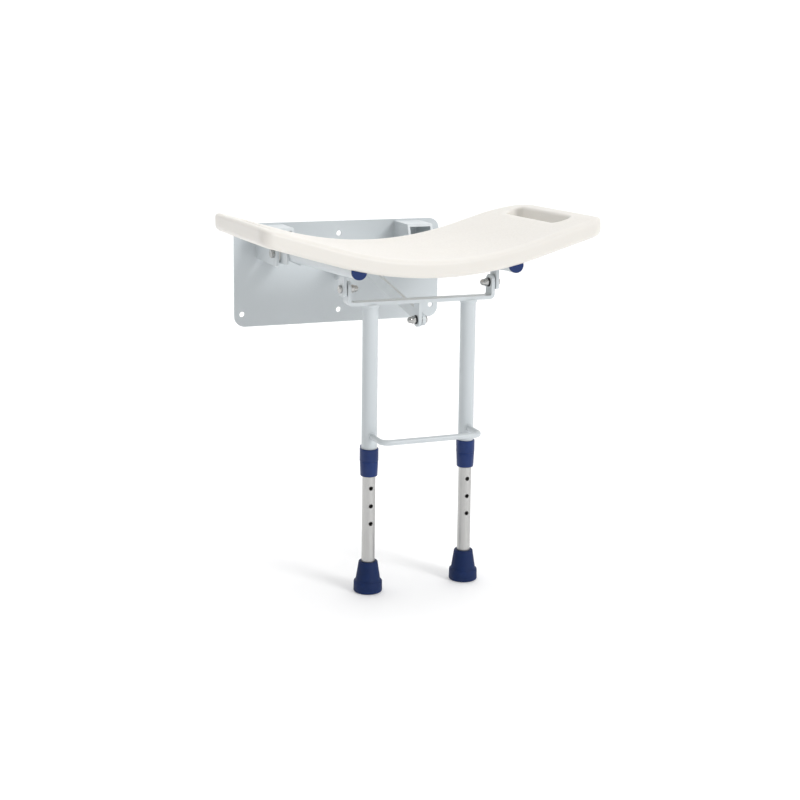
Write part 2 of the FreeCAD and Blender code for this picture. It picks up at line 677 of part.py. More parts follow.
def make_leg_fasteners():
    """Bolt, spacer, black washer and dome nut of each leg pivot."""
    spot = ("-leg_reach", "-leg_drop")
    head = "%s + lug_thickness" % LUG_INNER
    inner = "%s - yoke_thickness" % YOKE_HALF
    span = "lug_thickness + lug_gap + yoke_thickness + washer_thickness + thread_in_nut"
    shank = bolt("leg_bolt_form", "pivot_bolt", span, "bolt_flats", "bolt_head")
    at_seat(group("leg_pivot_bolts", shank, pair(head, *spot)))
    spacer = ring("leg_spacer_form", "washer_diameter", "pivot_bolt", "lug_gap")
    at_seat(group("leg_pivot_spacers", spacer, pair(LUG_INNER, *spot)))
    washer = ring("washer_form", "washer_diameter", "pivot_bolt", "washer_thickness")
    at_seat(group("leg_pivot_washers", washer, pair(inner, *spot)))
    at_seat(group("leg_pivot_nuts", dome_nut("leg_nut_form"), pair(inner + " - washer_thickness", *spot)))


def make_yoke():
    """A flat bar bent up at both ends, with rounded ears for the leg pivots."""
    piece = Piece("leg_yoke")
    outer, inner = YOKE_HALF, "(%s - yoke_thickness)" % YOKE_HALF
    top = "yoke_top"
    shelf = "-yoke_drop + yoke_thickness"
    corners = [("-" + outer, "-yoke_drop"), (outer, "-yoke_drop"), (outer, top), (inner, top), (inner, shelf),
               ("-" + inner, shelf), ("-" + inner, top), ("-" + outer, top)]
    piece.pad("XZ", "0", "lug_width", [corners], both=True)
    low = lambda spot: spot.z < size("-yoke_drop") + 0.1
    piece.fillet("yoke_bend", along(Y_AXIS, low))
    hollow = lambda spot: abs(spot.z - size(shelf)) < 0.1
    piece.fillet("yoke_bend - yoke_thickness", along(Y_AXIS, hollow))
    piece.fillet("yoke_round", along(X_AXIS, lambda spot: spot.z > size(top) - 0.1))
    piece.cut("YZ", "0", "2 * %s + 10" % outer, circles=[("0", "0", BOLT_HOLE)], both=True)
    at_leg(piece.body)
    keep(piece.body)


def make_upper_leg(label, side):
    piece = Piece(label)
    bore = "tube_diameter - 2 * tube_wall"
    piece.pad("XY", "-sleeve_end", "-yoke_drop", circles=[("0", "0", "tube_diameter"), ("0", "0", bore)])
    hole = [("0", "-" + LOCK_DROP, "leg_hole")]
    piece.cut("XZ", "-tube_diameter", "0", circles=hole)
    at_leg(piece.body, "%d * leg_spread" % side)
    keep(piece.body)


def make_stretcher():
    """A round rod bent into a shallow U, its ends saddled to the fronts of the legs."""
    piece = Piece("stretcher_rod")
    path = piece.body.newObject("Sketcher::SketchObject", "Path")
    path.AttachmentSupport = [(piece.plane("XY"), "")]
    path.MapMode = "FlatFace"
    start = ("-leg_spread", "-tube_diameter / 4")
    bend_out = ("-leg_spread", "-rod_reach + rod_bend")
    bend_in = ("-leg_spread + rod_bend", "-rod_reach")
    mirror = lambda spot: ("-(%s)" % spot[0], spot[1])
    stops = [start, bend_out, bend_in, mirror(bend_in), mirror(bend_out), mirror(start)]
    spots = [Vector(size(x), size(y), 0) for x, y in stops]
    turn = size("rod_bend") * (1 - 0.5 ** 0.5)
    left_middle = Vector(-size("leg_spread") + turn, -size("rod_reach") + turn, 0)
    right_middle = Vector(-left_middle.x, left_middle.y, 0)
    path.addGeometry(Part.LineSegment(spots[0], spots[1]))
    path.addGeometry(Part.Arc(spots[1], left_middle, spots[2]))
    path.addGeometry(Part.LineSegment(spots[2], spots[3]))
    path.addGeometry(Part.Arc(spots[3], right_middle, spots[4]))
    path.addGeometry(Part.LineSegment(spots[4], spots[5]))
    section = piece.body.newObject("Sketcher::SketchObject", "Section")
    section.AttachmentSupport = [(piece.plane("XZ"), "")]
    section.MapMode = "FlatFace"
    bind(section, AttachmentOffset__Base__z="tube_diameter / 4")
    draw_circle(section, "-leg_spread", "0", "rod_diameter")
    pipe = piece.body.newObject("PartDesign::AdditivePipe", "Pipe")
    pipe.Profile = section
    pipe.Spine = (path, [])
    legs = [("%d * leg_spread" % side, "0", "tube_diameter") for side in (-1, 1)]
    piece.cut("XY", "0", "4 * rod_diameter", circles=legs, both=True)
    at_leg(piece.body, z="-rod_drop")
    keep(piece.body)


def make_stay_lug():
    """A plate hung under the yoke's middle that carries the front of the stay."""
    piece = Piece("stay_lug")
    half = "lug_width / 2"
    profile = box("-" + half, half, "-stay_drop - " + half, "-yoke_drop")
    piece.pad("YZ", "stay_lug_left", "stay_lug_left + lug_thickness", [profile])
    piece.fillet("yoke_round", along(X_AXIS, lambda spot: spot.z < size("-stay_drop")))
    hole = [("0", "-stay_drop", BOLT_HOLE)]
    piece.cut("YZ", "stay_lug_left - 1", "stay_lug_left + lug_thickness + 1", circles=hole)
    at_leg(piece.body)
    keep(piece.body)


def make_collar(label, side):
    """A stepped blue sleeve: wide over the upper leg, narrow over the lower leg."""
    piece = Piece(label)
    tube, neck = "(tube_diameter / 2)", "(%s / 2 + collar_gap / 2)" % LOWER_DIAMETER
    wide, narrow = "(collar_diameter / 2)", "(collar_neck / 2)"
    step = "-sleeve_end"
    corners = [(tube, "-collar_top"), (wide, "-collar_top"), (wide, step), (narrow, step + " - 2"),
               (narrow, "-" + COLLAR_END), (neck, "-" + COLLAR_END), (neck, step), (tube, step)]
    piece.turn(corners)
    ends = ("-collar_top", "-" + COLLAR_END)
    outer = lambda e: e.Closed and e.BoundBox.XLength > size("collar_neck") - 0.1
    rim = lambda e: outer(e) and any(abs(e.BoundBox.ZMin - size(end)) < 0.01 for end in ends)
    piece.fillet("collar_round / 2", rim)
    piece.cut("XZ", "-collar_diameter", "0", circles=[("0", "-" + LOCK_DROP, "leg_hole")])
    at_leg(piece.body, "%d * leg_spread" % side)
    keep(piece.body)


def make_lock(label, side):
    """A saddle on the back of the collar with a pin through it and the upper leg."""
    piece = Piece(label)
    drop = LOCK_DROP
    wide = "(collar_diameter / 2 + lock_play)"
    half = "lock_width / 2"
    face = "(collar_diameter / 2 + lock_play + lock_reach)"
    piece.pad("XY", "-%s - lock_height / 2" % drop, "-%s + lock_height / 2" % drop,
              [box("-" + half, half, "0", face)])
    piece.fillet("lock_reach / 2", along(Z_AXIS, lambda spot: spot.y > 1))
    around = [("0", "0", "2 * " + wide)]
    piece.cut("XY", "-%s - lock_height" % drop, "-%s + lock_height" % drop, circles=around)
    start = "-(tube_diameter / 2 + collar_diameter / 2) / 2 - lock_reach"
    tip = "-(%s / 2 + lock_play)" % LOWER_DIAMETER
    piece.pad("XZ", start, tip, circles=[("0", "-" + drop, "leg_hole - lock_play")])
    at_leg(piece.body, "%d * leg_spread" % side)
    keep(piece.body)


def make_lower_leg(label, side):
    """The sliding tube with its row of height holes."""
    piece = Piece(label)
    bore = "%s - 2 * lower_wall" % LOWER_DIAMETER
    piece.pad("XY", "-floor_drop + foot_sole", "-lower_top",
              circles=[("0", "0", LOWER_DIAMETER), ("0", "0", bore)])
    holes = [("0", "-(first_hole + %d * hole_pitch)" % n, "leg_hole") for n in range(int(size("hole_count")))]
    piece.cut("XZ", "0", "2 * tube_diameter", circles=holes, both=True)
    at_leg(piece.body, "%d * leg_spread" % side)
    keep(piece.body)


def make_foot(label, side):
    """A rubber ferrule: a base band, a small step and a tapered socket around the tube."""
    piece = Piece(label)
    base, rim = "foot_diameter / 2", "foot_top / 2"
    floor = "-floor_drop"
    socket = "(%s / 2)" % LOWER_DIAMETER
    corners = [("0", floor), (base, floor), ("%s - 0.6" % base, floor + " + foot_band"),
               ("%s - 0.6 - foot_step" % base, floor + " + foot_band + foot_step"),
               (rim, floor + " + foot_height"), (socket, floor + " + foot_height"),
               (socket, floor + " + foot_sole"), ("0", floor + " + foot_sole")]
    piece.turn(corners)
    sole = lambda e: e.Closed and abs(e.BoundBox.ZMin - size(floor)) < 0.01
    piece.fillet("foot_step", sole)
    at_leg(piece.body, "%d * leg_spread" % side)
    keep(piece.body)


def make_stay():
    """A flat bar from the leg frame to the wall, with a long slot for its wall bolt."""
    piece = Piece("stay_bar")
    near = "%s - %s - stay_slack" % (CRANK, OFFSET)
    far = "%s + stay_slack" % STAY_LENGTH
    half = "stay_width / 2"
    width = "(anchor_bolt + slot_play)"
    tail = "%s + %s / 2 + stay_end" % (far, width)
    start, stop = STAY_LEFT, "%s + stay_thickness" % STAY_LEFT
    piece.pad("YZ", start, stop, [box("-" + half, tail, "-" + half, half)])
    piece.fillet("stay_width / 2 - 0.5", along(X_AXIS))
    piece.cut("YZ", start + " - 1", stop + " + 1", circles=[("0", "0", BOLT_HOLE)])
    piece.cut("YZ", start + " - 1", stop + " + 1", circles=[(near, "0", width), (far, "0", width)])
    middle = box(near, far, "-%s / 2" % width, "%s / 2" % width)
    piece.cut("YZ", start + " - 1", stop + " + 1", [middle])
    piece.body.Placement = FreeCAD.Placement(Vector(), Rotation(X_AXIS, 1))
    bind(piece.body, Placement__Rotation__Angle="atan(%s / %s)" % (STAY_RISE, STAY_RUN))
    at_leg(piece.body, z="-stay_drop")
    keep(piece.body)


def make_stay_fasteners():
    """Bolt, inner washer, black washer and dome nut at the front of the stay."""
    spot = ("0", "-stay_drop")
    span = "stay_thickness + stay_gap + lug_thickness + washer_thickness + thread_in_nut"
    shank = bolt("stay_bolt_form", "pivot_bolt", span, "bolt_flats", "bolt_head")
    outer = "%s + stay_thickness" % STAY_LEFT
    at_leg(group("stay_front_bolt", shank, [(-X_AXIS, outer, *spot)]))
    inner = ring("stay_washer_form", "stay_width - 2", BOLT_HOLE, "stay_gap")
    at_leg(group("stay_front_spacer", inner, [(X_AXIS, "stay_lug_left + lug_thickness", *spot)]))
    black = ring("black_washer_form", "washer_diameter", "pivot_bolt", "washer_thickness")
    at_leg(group("stay_front_washer", black, [(-X_AXIS, "stay_lug_left", *spot)]))
    end = dome_nut("stay_nut_form")
    at_leg(group("stay_front_nut", end, [(-X_AXIS, "stay_lug_left - washer_thickness", *spot)]))


def make_wall():
    make_wall_plate()
    make_wall_bracket("left_wall_bracket", -1)
    make_wall_bracket("right_wall_bracket", 1)
    make_stay_bracket()
    make_wall_fasteners()


def make_seat():
    make_seat_panel()
    for label, side in (("left", -1), ("right", 1)):
        make_seat_tube(label + "_seat_tube", side)
        make_cheeks(label + "_pivot_cheeks", side)
        make_leg_lug(label + "_leg_lug", side)
        make_tube_cap(label + "_tube_cap", side)
    make_seat_screws()
    make_pivot_sleeves()
    make_leg_fasteners()


def make_legs():
    make_yoke()
    make_stay_lug()
    make_stretcher()
    for label, side in (("left", -1), ("right", 1)):
        make_upper_leg(label + "_upper_leg", side)
        make_collar(label + "_collar", side)
        make_lock(label + "_lock_pin", side)
        make_lower_leg(label + "_lower_leg", side)
        make_foot(label + "_foot", side)
    make_stay()
    make_stay_fasteners()


def write_parts():
    """Test every piece and write each to a file of its own."""
    doc.recompute()
    os.makedirs("parts", exist_ok=True)
    for item in doc.Objects:
        if "Invalid" in item.State or "Error" in item.State:
            raise ValueError("%s is %s" % (item.Label, item.State))
    for item in nodes:
        shape = item.Shape
        if shape.isNull() or not shape.isValid() or shape.Volume <= 0:
            raise ValueError("bad shape: %s" % item.Label)
        shape.exportStep("parts/%s.step" % item.Label)
        print("%-20s %10.0f mm3, %d solids" % (item.Label, shape.Volume, len(shape.Solids)))


sheet = make_sheet()
make_wall()
make_seat()
make_legs()
write_parts()
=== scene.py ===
import math

import bmesh
import bpy
import numpy as np
from bpy.props import FloatProperty, FloatVectorProperty, PointerProperty
from bpy.types import Operator, Panel, PropertyGroup
from mathutils import Matrix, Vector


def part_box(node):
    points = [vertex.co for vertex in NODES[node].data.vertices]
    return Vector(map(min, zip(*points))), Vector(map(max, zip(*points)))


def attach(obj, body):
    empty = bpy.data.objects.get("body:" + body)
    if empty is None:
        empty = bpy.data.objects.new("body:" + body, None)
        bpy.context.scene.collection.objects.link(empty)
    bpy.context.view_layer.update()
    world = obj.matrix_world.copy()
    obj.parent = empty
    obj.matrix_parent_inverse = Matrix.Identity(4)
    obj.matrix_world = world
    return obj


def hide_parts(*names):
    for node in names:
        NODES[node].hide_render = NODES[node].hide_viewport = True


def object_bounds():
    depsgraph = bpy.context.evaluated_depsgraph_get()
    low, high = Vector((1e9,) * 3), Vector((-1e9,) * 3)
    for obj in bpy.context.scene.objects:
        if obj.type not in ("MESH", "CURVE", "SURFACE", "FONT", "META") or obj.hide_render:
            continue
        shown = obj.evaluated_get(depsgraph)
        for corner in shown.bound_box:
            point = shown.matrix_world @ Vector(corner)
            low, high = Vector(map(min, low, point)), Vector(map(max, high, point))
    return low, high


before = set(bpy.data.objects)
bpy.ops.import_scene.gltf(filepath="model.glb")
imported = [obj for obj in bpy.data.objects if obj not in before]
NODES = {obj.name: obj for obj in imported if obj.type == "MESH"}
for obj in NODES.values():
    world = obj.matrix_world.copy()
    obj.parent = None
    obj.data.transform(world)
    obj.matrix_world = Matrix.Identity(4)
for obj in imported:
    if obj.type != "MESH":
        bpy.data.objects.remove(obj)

bl_info = {
    "name": "Fold Down Wall Seat",
    "version": (1, 0, 0),
    "blender": (4, 5, 0),
    "location": "3D View > Sidebar > Wall Seat",
    "description": "Builds the wall seat's moulding, feet, small fasteners, finishes, welds and studio",
    "category": "Object",
}

# Everything is in metres in the frame's own axes: X along the wall, Y into the
# wall, Z up, the origin in the middle of the wall plate's back face.

CAD_BOX = [list(corner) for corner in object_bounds()]
RECLINE = math.radians(2.5)
FORWARD = np.array([0, -math.cos(RECLINE), math.sin(RECLINE)])
UPWARD = np.array([0, math.sin(RECLINE), math.cos(RECLINE)])
PIVOT = np.array([0, -0.096, 0.0465])
TUBE_AXIS, TUBE_RADIUS = 0.117, 0.0111


# Sizes and colours

def colour(name, description, value):
    return FloatVectorProperty(name=name, description=description, default=value, size=3,
                               min=0, max=1, subtype="COLOR")


def length(name, description, value):
    return FloatProperty(name=name, description=description, default=value, min=0,
                         precision=4, unit="LENGTH", subtype="DISTANCE")


class WallSeatSizes(PropertyGroup):
    """Sizes of the details that the frame doesn't hold."""
    leg_weld: length("Leg weld", "How far the weld flares out where a leg meets the yoke", 0.0022)
    leg_weld_drop: length("Leg weld drop", "How far the leg's weld runs down the tube", 0.0045)
    plate_weld: length("Plate weld", "Width of the beads along brackets, lugs and cheeks", 0.0032)
    rod_weld: length("Rod weld", "Width of the bead around each end of the stretcher rod", 0.0026)
    ripple: length("Weld ripple", "Distance from one ripple of a bead to the next", 0.0021)
    seat_width: length("Seat width", "Seat along the wall", 0.508)
    seat_rear: length("Seat rear", "Seat's rear edge in front of the pivot line", 0.034)
    seat_front: length("Seat front", "Seat's front edge in front of the pivot line", 0.322)
    seat_thickness: length("Seat thickness", "Thickness of the hollow moulding", 0.0245)
    seat_top: length("Seat top", "Middle of the seat's top above the tubes' axis", 0.0159)
    seat_sweep: length("Seat sweep", "Radius of the hollow middle", 0.505)
    wing: FloatProperty(name="Wing angle", description="Rise of the straight wings beside the hollow",
                        default=math.radians(16.3), min=0, max=1, unit="ROTATION", subtype="ANGLE")
    lean: FloatProperty(name="Seat lean", description="Lean of the seat forward from its tubes",
                        default=math.radians(1.7), min=0, max=0.2, unit="ROTATION", subtype="ANGLE")
    rear_corner: length("Rear corners", "Radius of the seat's rear corners", 0.066)
    front_corner: length("Front corners", "Radius of the seat's front corners", 0.018)
    rim: length("Rim", "Radius of the seat's rounded rim", 0.007)
    slot_rim: length("Slot rim", "Radius of the hand slots' rounded rims", 0.004)
    foot_width: length("Foot width", "Rubber foot's band across", 0.0415)
    foot_rim: length("Foot rim", "Rubber foot across its upper rim", 0.0273)
    skirt: length("Collar skirt", "Collar's lower part across its top", 0.0262)
    nut_flats: length("Dome nut", "Leg pivot's dome nuts and bolt heads across flats", 0.010)
    nut_height: length("Dome nut height", "Dome nut from its face to its tip", 0.012)
    leg_bolt: length("Leg bolt", "Diameter of the leg pivot bolts", 0.006)
    leg_washer: length("Leg washer", "Washers of the leg pivots across", 0.013)
    grain: length("Seat grain", "Width of the anti slip grain on the seat's top", 0.0034)
    grain_depth: length("Grain depth", "Depth of the anti slip grain", 0.00035)
    coat_peel: length("Coat ripple", "Width of the fine ripple in the powder coat", 0.0016)


class WallSeatColours(PropertyGroup):
    """Base colours of the finishes."""
    powder: colour("Powder coat", "Pale blue grey coat on the steel", (0.545, 0.585, 0.605))
    panel: colour("Seat plastic", "Warm white moulded seat", (0.735, 0.71, 0.665))
    blue: colour("Blue plastic", "Collars and lock saddles", (0.003, 0.022, 0.115))
    rubber: colour("Blue rubber", "Feet", (0.004, 0.017, 0.075))
    cap: colour("Cap plastic", "Tube end caps", (0.006, 0.024, 0.115))
    black: colour("Black plastic", "Washers under the dome nuts", (0.012, 0.012, 0.013))
    nylon: colour("White nylon", "Spacers at the pivots", (0.78, 0.78, 0.76))
    steel: colour("Steel", "Bolts, nuts and screws", (0.44, 0.44, 0.43))
    aluminium: colour("Aluminium", "Sliding legs", (0.50, 0.50, 0.49))
    floor: colour("Floor", "Plain pale floor", (0.86, 0.86, 0.865))


# Finishes

class Wire:
    """A shader socket that adds, subtracts and multiplies like a number."""

    def __init__(self, finish, socket):
        self.finish, self.socket = finish, socket

    def join(self, operation, first, second):
        node = self.finish.step("ShaderNodeMath", {"operation": operation}, {0: first, 1: second})
        return self.finish.take(node, 0)

    def __add__(self, other):
        return self.join("ADD", self, other)

    def __radd__(self, other):
        return self.join("ADD", other, self)

    def __sub__(self, other):
        return self.join("SUBTRACT", self, other)

    def __rsub__(self, other):
        return self.join("SUBTRACT", other, self)

    def __mul__(self, other):
        return self.join("MULTIPLY", self, other)

    def __rmul__(self, other):
        return self.join("MULTIPLY", other, self)


class Finish:
    """One material: a Principled shader and the steps that feed it."""

    def __init__(self, name, **fixed):
        self.material = bpy.data.materials.new(name)
        self.material.use_nodes = True
        self.tree = self.material.node_tree
        self.shader = self.tree.nodes["Principled BSDF"]
        for socket, value in fixed.items():
            self.shader.inputs[socket.replace("_", " ")].default_value = value

    def step(self, kind, settings, inputs):
        """A node of a kind, with its settings, and its inputs set or wired."""
        node = self.tree.nodes.new(kind)
        for key, value in settings.items():
            setattr(node, key, value)
        for key, value in inputs.items():
            if isinstance(value, Wire):
                self.tree.links.new(value.socket, node.inputs[key])
            else:
                node.inputs[key].default_value = value
        return node

    def take(self, node, output):
        return Wire(self, node.outputs[output])

    def place(self, stretch=(1, 1, 1)):
        """The spot on the piece in metres, stretched along its axes."""
        spot = self.take(self.step("ShaderNodeTexCoord", {}, {}), "Object")
        return self.take(self.step("ShaderNodeMapping", {}, {"Vector": spot, "Scale": stretch}), 0)

    def noise(self, width, detail=2.0, stretch=(1, 1, 1), roughness=0.5):
        """Cloudy values about 0.5 whose blobs are as wide as width."""
        node = self.step("ShaderNodeTexNoise", {}, {"Vector": self.place(stretch), "Scale": 0.5 / width,
                                                    "Detail": detail, "Roughness": roughness})
        return self.take(node, 0)

    def pebbles(self, width):
        """Distance to the nearest of many scattered points, in cells as wide as width."""
        node = self.step("ShaderNodeTexVoronoi", {"feature": "SMOOTH_F1"},
                         {"Vector": self.place(), "Scale": 1 / width, "Smoothness": 0.6})
        return self.take(node, "Distance")

    def span(self, value, low, high, to_low=0.0, to_high=1.0):
        """The value carried from one range to another and held at its ends."""
        node = self.step("ShaderNodeMapRange", {"clamp": True}, {"Value": value, "From Min": low,
                         "From Max": high, "To Min": to_low, "To Max": to_high})
        return self.take(node, 0)

    def blend(self, share, first, second):
        """A colour between two others."""
        node = self.step("ShaderNodeMix", {"data_type": "RGBA"}, {0: share, 6: first, 7: second})
        return self.take(node, 2)

    def along(self, way):
        """How far the spot lies along a way, in metres."""
        node = self.step("ShaderNodeVectorMath", {"operation": "DOT_PRODUCT"},
                         {0: self.place(), 1: tuple(way)})
        return self.take(node, "Value")

    def feed(self, socket, value):
        self.tree.links.new(value.socket, self.shader.inputs[socket])

    def emboss(self, height, depth):
        """Raise the surface by a height of 0 to 1, times a depth in metres."""
        node = self.step("ShaderNodeBump", {}, {"Height": height, "Distance": depth, "Strength": 1.0})
        self.feed("Normal", self.take(node, 0))


def shade(value, factor):
    """A colour made lighter or darker, with full cover."""
    return tuple(min(1.0, part * factor) for part in value) + (1.0,)


def powder_coat(sizes, colours):
    """Sprayed and baked coat: a fine ripple, a little cloudiness and a soft gloss."""
    finish = Finish("powder_coat_finish", Coat_Weight=0.12, Coat_Roughness=0.25)
    cloud = finish.noise(0.05, 3)
    finish.feed("Base Color", finish.blend(cloud, shade(colours.powder, 0.975), shade(colours.powder, 1.02)))
    ripple = finish.noise(sizes.coat_peel, 2)
    finish.feed("Roughness", finish.span(ripple, 0.3, 0.7, 0.34, 0.44))
    finish.emboss(ripple, 0.00009)
    return finish.material


def seat_plastic(sizes, colours):
    """Blow moulded plastic: pebbled on the tread, smooth and softly waved on its rim. Painted shade darkens
    the tread's base colour along with its grain.
    """
    finish = Finish("seat_plastic_finish", Coat_Weight=0.05, Coat_Roughness=0.4,
                    Subsurface_Weight=0.08, Subsurface_Radius=(0.006, 0.005, 0.004), Subsurface_Scale=0.5)
    tread = finish.take(finish.step("ShaderNodeAttribute", {"attribute_name": "tread"}, {}), "Fac")
    pebble = (finish.pebbles(sizes.grain) * 0.7 + finish.noise(sizes.grain * 0.6, 2) * 0.5) * tread
    wave = finish.noise(0.035, 1)
    # painted shade: the grain's pebble value, spread to 0 to 1, darkens the base colour below up to a quarter
    # of the way toward a darker tone of the seat colour
    painted_grain_shade = finish.span(pebble, 0.35, 0.85)
    cloud = finish.blend(finish.noise(0.06, 3), shade(colours.panel, 0.98), shade(colours.panel, 1.015))
    finish.feed("Base Color", finish.blend(painted_grain_shade * 0.25, cloud, shade(colours.panel, 0.93)))
    finish.feed("Roughness", finish.span(pebble, 0.2, 0.9, 0.42, 0.6))
    finish.emboss(pebble * sizes.grain_depth + wave * 0.0009, 1.0)
    return finish.material


def blue_plastic(name, value, gloss=0.32):
    """Moulded plastic: a faint spark texture and scuffs that dull it."""
    finish = Finish(name, Specular_IOR_Level=0.32)
    scuff = finish.noise(0.009, 4, (1, 1, 0.35))
    worn = finish.span(scuff, 0.55, 0.8)
    finish.feed("Base Color", finish.blend(worn, shade(value, 1.0), shade(value, 1.35)))
    spark = finish.noise(0.0007, 2)
    finish.feed("Roughness", finish.span(scuff, 0.3, 0.8, gloss, gloss + 0.16))
    finish.emboss(spark, 0.00005)
    return finish.material


def blue_rubber(colours):
    """Moulded rubber: matt, with a dusty bloom that gathers low down."""
    finish = Finish("blue_rubber_finish", Specular_IOR_Level=0.22)
    dust = finish.noise(0.006, 4)
    low = 1 - 0.75 * finish.span(finish.along((0, 0, 1)), -0.412, -0.385)
    share = finish.span(dust, 0.45, 0.8) * low * 0.5
    finish.feed("Base Color", finish.blend(share, shade(colours.rubber, 1.0), shade(colours.rubber, 2.2)))
    finish.feed("Roughness", finish.span(dust, 0.2, 0.8, 0.5, 0.68))
    finish.emboss(finish.noise(0.0008, 3), 0.00008)
    return finish.material


def brushed_metal(name, value, roughness, stretch, streak=0.0006):
    """Metal drawn or turned in one direction, so that its fine lines run along it."""
    finish = Finish(name, Metallic=1.0)
    lines = finish.noise(streak, 3, stretch, 0.6)
    cloud = finish.noise(0.02, 3)
    tone = finish.span(lines, 0.3, 0.7)
    finish.feed("Base Color", finish.blend(tone, shade(value, 0.93), shade(value, 1.04)))
    finish.feed("Roughness", finish.span(lines + cloud * 0.5, 0.5, 1.0, roughness - 0.07, roughness + 0.09))
    finish.emboss(lines, 0.00003)
    return finish.material


def plain_moulding(name, value, roughness):
    """Small moulded washers and spacers with a fine matt skin."""
    finish = Finish(name)
    speckle = finish.noise(0.0009, 3)
    finish.feed("Base Color", finish.blend(speckle, shade(value, 0.9), shade(value, 1.1)))
    finish.feed("Roughness", finish.span(speckle, 0.3, 0.7, roughness - 0.06, roughness + 0.08))
    finish.emboss(speckle, 0.00004)
    return finish.material


def dress(names, material):
    """Give each named node of the frame a finish."""
    for name in names:
        for slot in NODES[name].material_slots:
            slot.material = material


# Surfaces

def skin(name, grid, material, body, looped=False):
    """A mesh over a grid of points, stations by points around: four cornered faces between
    neighbours, and a fan about the middle of each end unless its stations loop, turned so that
    its volume is positive."""
    stations, around = grid.shape[:2]
    rows = np.arange(stations if looped else stations - 1)
    row, column = (part.ravel() for part in np.meshgrid(rows, np.arange(around), indexing="ij"))
    next_row, next_column = (row + 1) % stations, (column + 1) % around
    quads = np.stack([row * around + column, row * around + next_column,
                      next_row * around + next_column, next_row * around + column], 1)
    points, fans = grid.reshape(-1, 3), np.empty((0, 3), int)
    if not looped:
        points = np.vstack([points, grid[0].mean(0), grid[-1].mean(0)])
        ring = np.arange(around)
        after, last = (ring + 1) % around, (stations - 1) * around
        start = np.stack([after, ring, np.full(around, len(points) - 2)], 1)
        stop = np.stack([last + ring, last + after, np.full(around, len(points) - 1)], 1)
        fans = np.vstack([start, stop])
    corners = np.vstack([quads[:, [0, 1, 2]], quads[:, [0, 2, 3]], fans])
    volume = np.einsum("ij,ij->i", points[corners[:, 0]],
                       np.cross(points[corners[:, 1]], points[corners[:, 2]])).sum()
    if volume < 0:
        quads, fans = quads[:, ::-1], fans[:, ::-1]
    mesh = bpy.data.meshes.new(name)
    mesh.from_pydata(points.tolist(), [], quads.tolist() + fans.tolist())
    mesh.shade_smooth()
    mesh.materials.append(material)
    piece = bpy.data.objects.new(name, mesh)
    bpy.context.scene.collection.objects.link(piece)
    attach(piece, body)
    return piece


def lathe(rows, spot, way, around=48):
    """Rings about an axis from a spot along a way. A row is a distance along the axis, a radius,
    and a width across flats or 0: the ring's radius is the smaller of the round one and the
    hexagon's, half the flats over the cosine of the angle from the nearest flat's middle."""
    rows = np.array(rows, float)
    turn = np.linspace(0, 2 * np.pi, around, endpoint=False)
    fold = (turn + np.pi / 6) % (np.pi / 3) - np.pi / 6
    hexagon = rows[:, 2:3] / 2 / np.cos(fold)[None, :]
    radius = np.where(rows[:, 2:3] > 0, np.minimum(rows[:, 1:2], hexagon), rows[:, 1:2])
    way = unit(np.array(way, float))
    first = unit(np.cross(way, [0, 0, 1.0] if abs(way[2]) < 0.9 else [0, 1.0, 0]))
    second = np.cross(way, first)
    ring = np.cos(turn)[:, None] * first + np.sin(turn)[:, None] * second
    return np.array(spot, float) + rows[:, 0:1, None] * way + radius[:, :, None] * ring


def unit(vectors):
    return vectors / np.linalg.norm(vectors, axis=-1, keepdims=True)


def bead(path, out, width, ripple, looped=False):
    """A weld bead along a path: a round section, half sunk, whose radius swells by a tenth
    with each ripple and shrinks to nothing as a quarter circle at each open end."""
    step = np.roll(path, -1, 0) - np.roll(path, 1, 0)
    if not looped:
        step[0], step[-1] = path[1] - path[0], path[-1] - path[-2]
    ahead = unit(step)
    out = unit(out - ahead * np.sum(out * ahead, 1, keepdims=True))
    side = np.cross(ahead, out)
    gaps = np.linalg.norm(np.diff(path, axis=0), axis=1)
    run = np.concatenate([[0], np.cumsum(gaps)])
    total = run[-1] + (np.linalg.norm(path[0] - path[-1]) if looped else 0)
    waves = max(1, round(total / ripple))
    radius = width / 2 * (1 + 0.10 * np.cos(2 * np.pi * waves * run / total))
    if not looped:
        near = np.clip(np.minimum(run, total - run) / (width * 0.6), 0, 1)
        radius = radius * np.sqrt(1 - (1 - near) ** 2 * 0.97)
    turn = np.linspace(0, 2 * np.pi, 12, endpoint=False)
    lean = 0.25 * width / 2 * np.cos(2 * np.pi * waves * run / total + 1.2)
    ring = np.cos(turn)[None, :, None] * out[:, None] + np.sin(turn)[None, :, None] * side[:, None]
    push = np.cos(turn)[None, :, None] * (lean[:, None] * ahead)[:, None]
    return path[:, None] + radius[:, None, None] * ring + push * (not looped)


def line(start, stop, gap=0.0005):
    """Evenly spaced points from start to stop."""
    start, stop = np.array(start, float), np.array(stop, float)
    count = max(8, int(np.linalg.norm(stop - start) / gap))
    return start + np.linspace(0, 1, count)[:, None] * (stop - start)


def bead_line(name, start, stop, out, width, ripple, material, body):
    path = line(start, stop)
    toward = np.tile(np.array(out, float), (len(path), 1))
    return skin(name, bead(path, toward, width, ripple), material, body)


def settings():
    return bpy.context.scene.wall_seat_sizes, bpy.context.scene.wall_seat_colours


def seat_spot(x, ahead, up):
    """A point given from the seat's pivot line: along the wall, out along the seat, up from it."""
    return PIVOT + np.array([x, 0, 0]) + ahead * FORWARD + up * UPWARD


def centre(name):
    """The middle of a node's box."""
    low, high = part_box(name)
    return [(low[axis] + high[axis]) / 2 for axis in range(3)]


# Operators

class WallSeatStep(Operator):
    """Common part of the steps."""
    bl_options = {"REGISTER", "UNDO"}

    def execute(self, context):
        self.make(*settings())
        return {"FINISHED"}


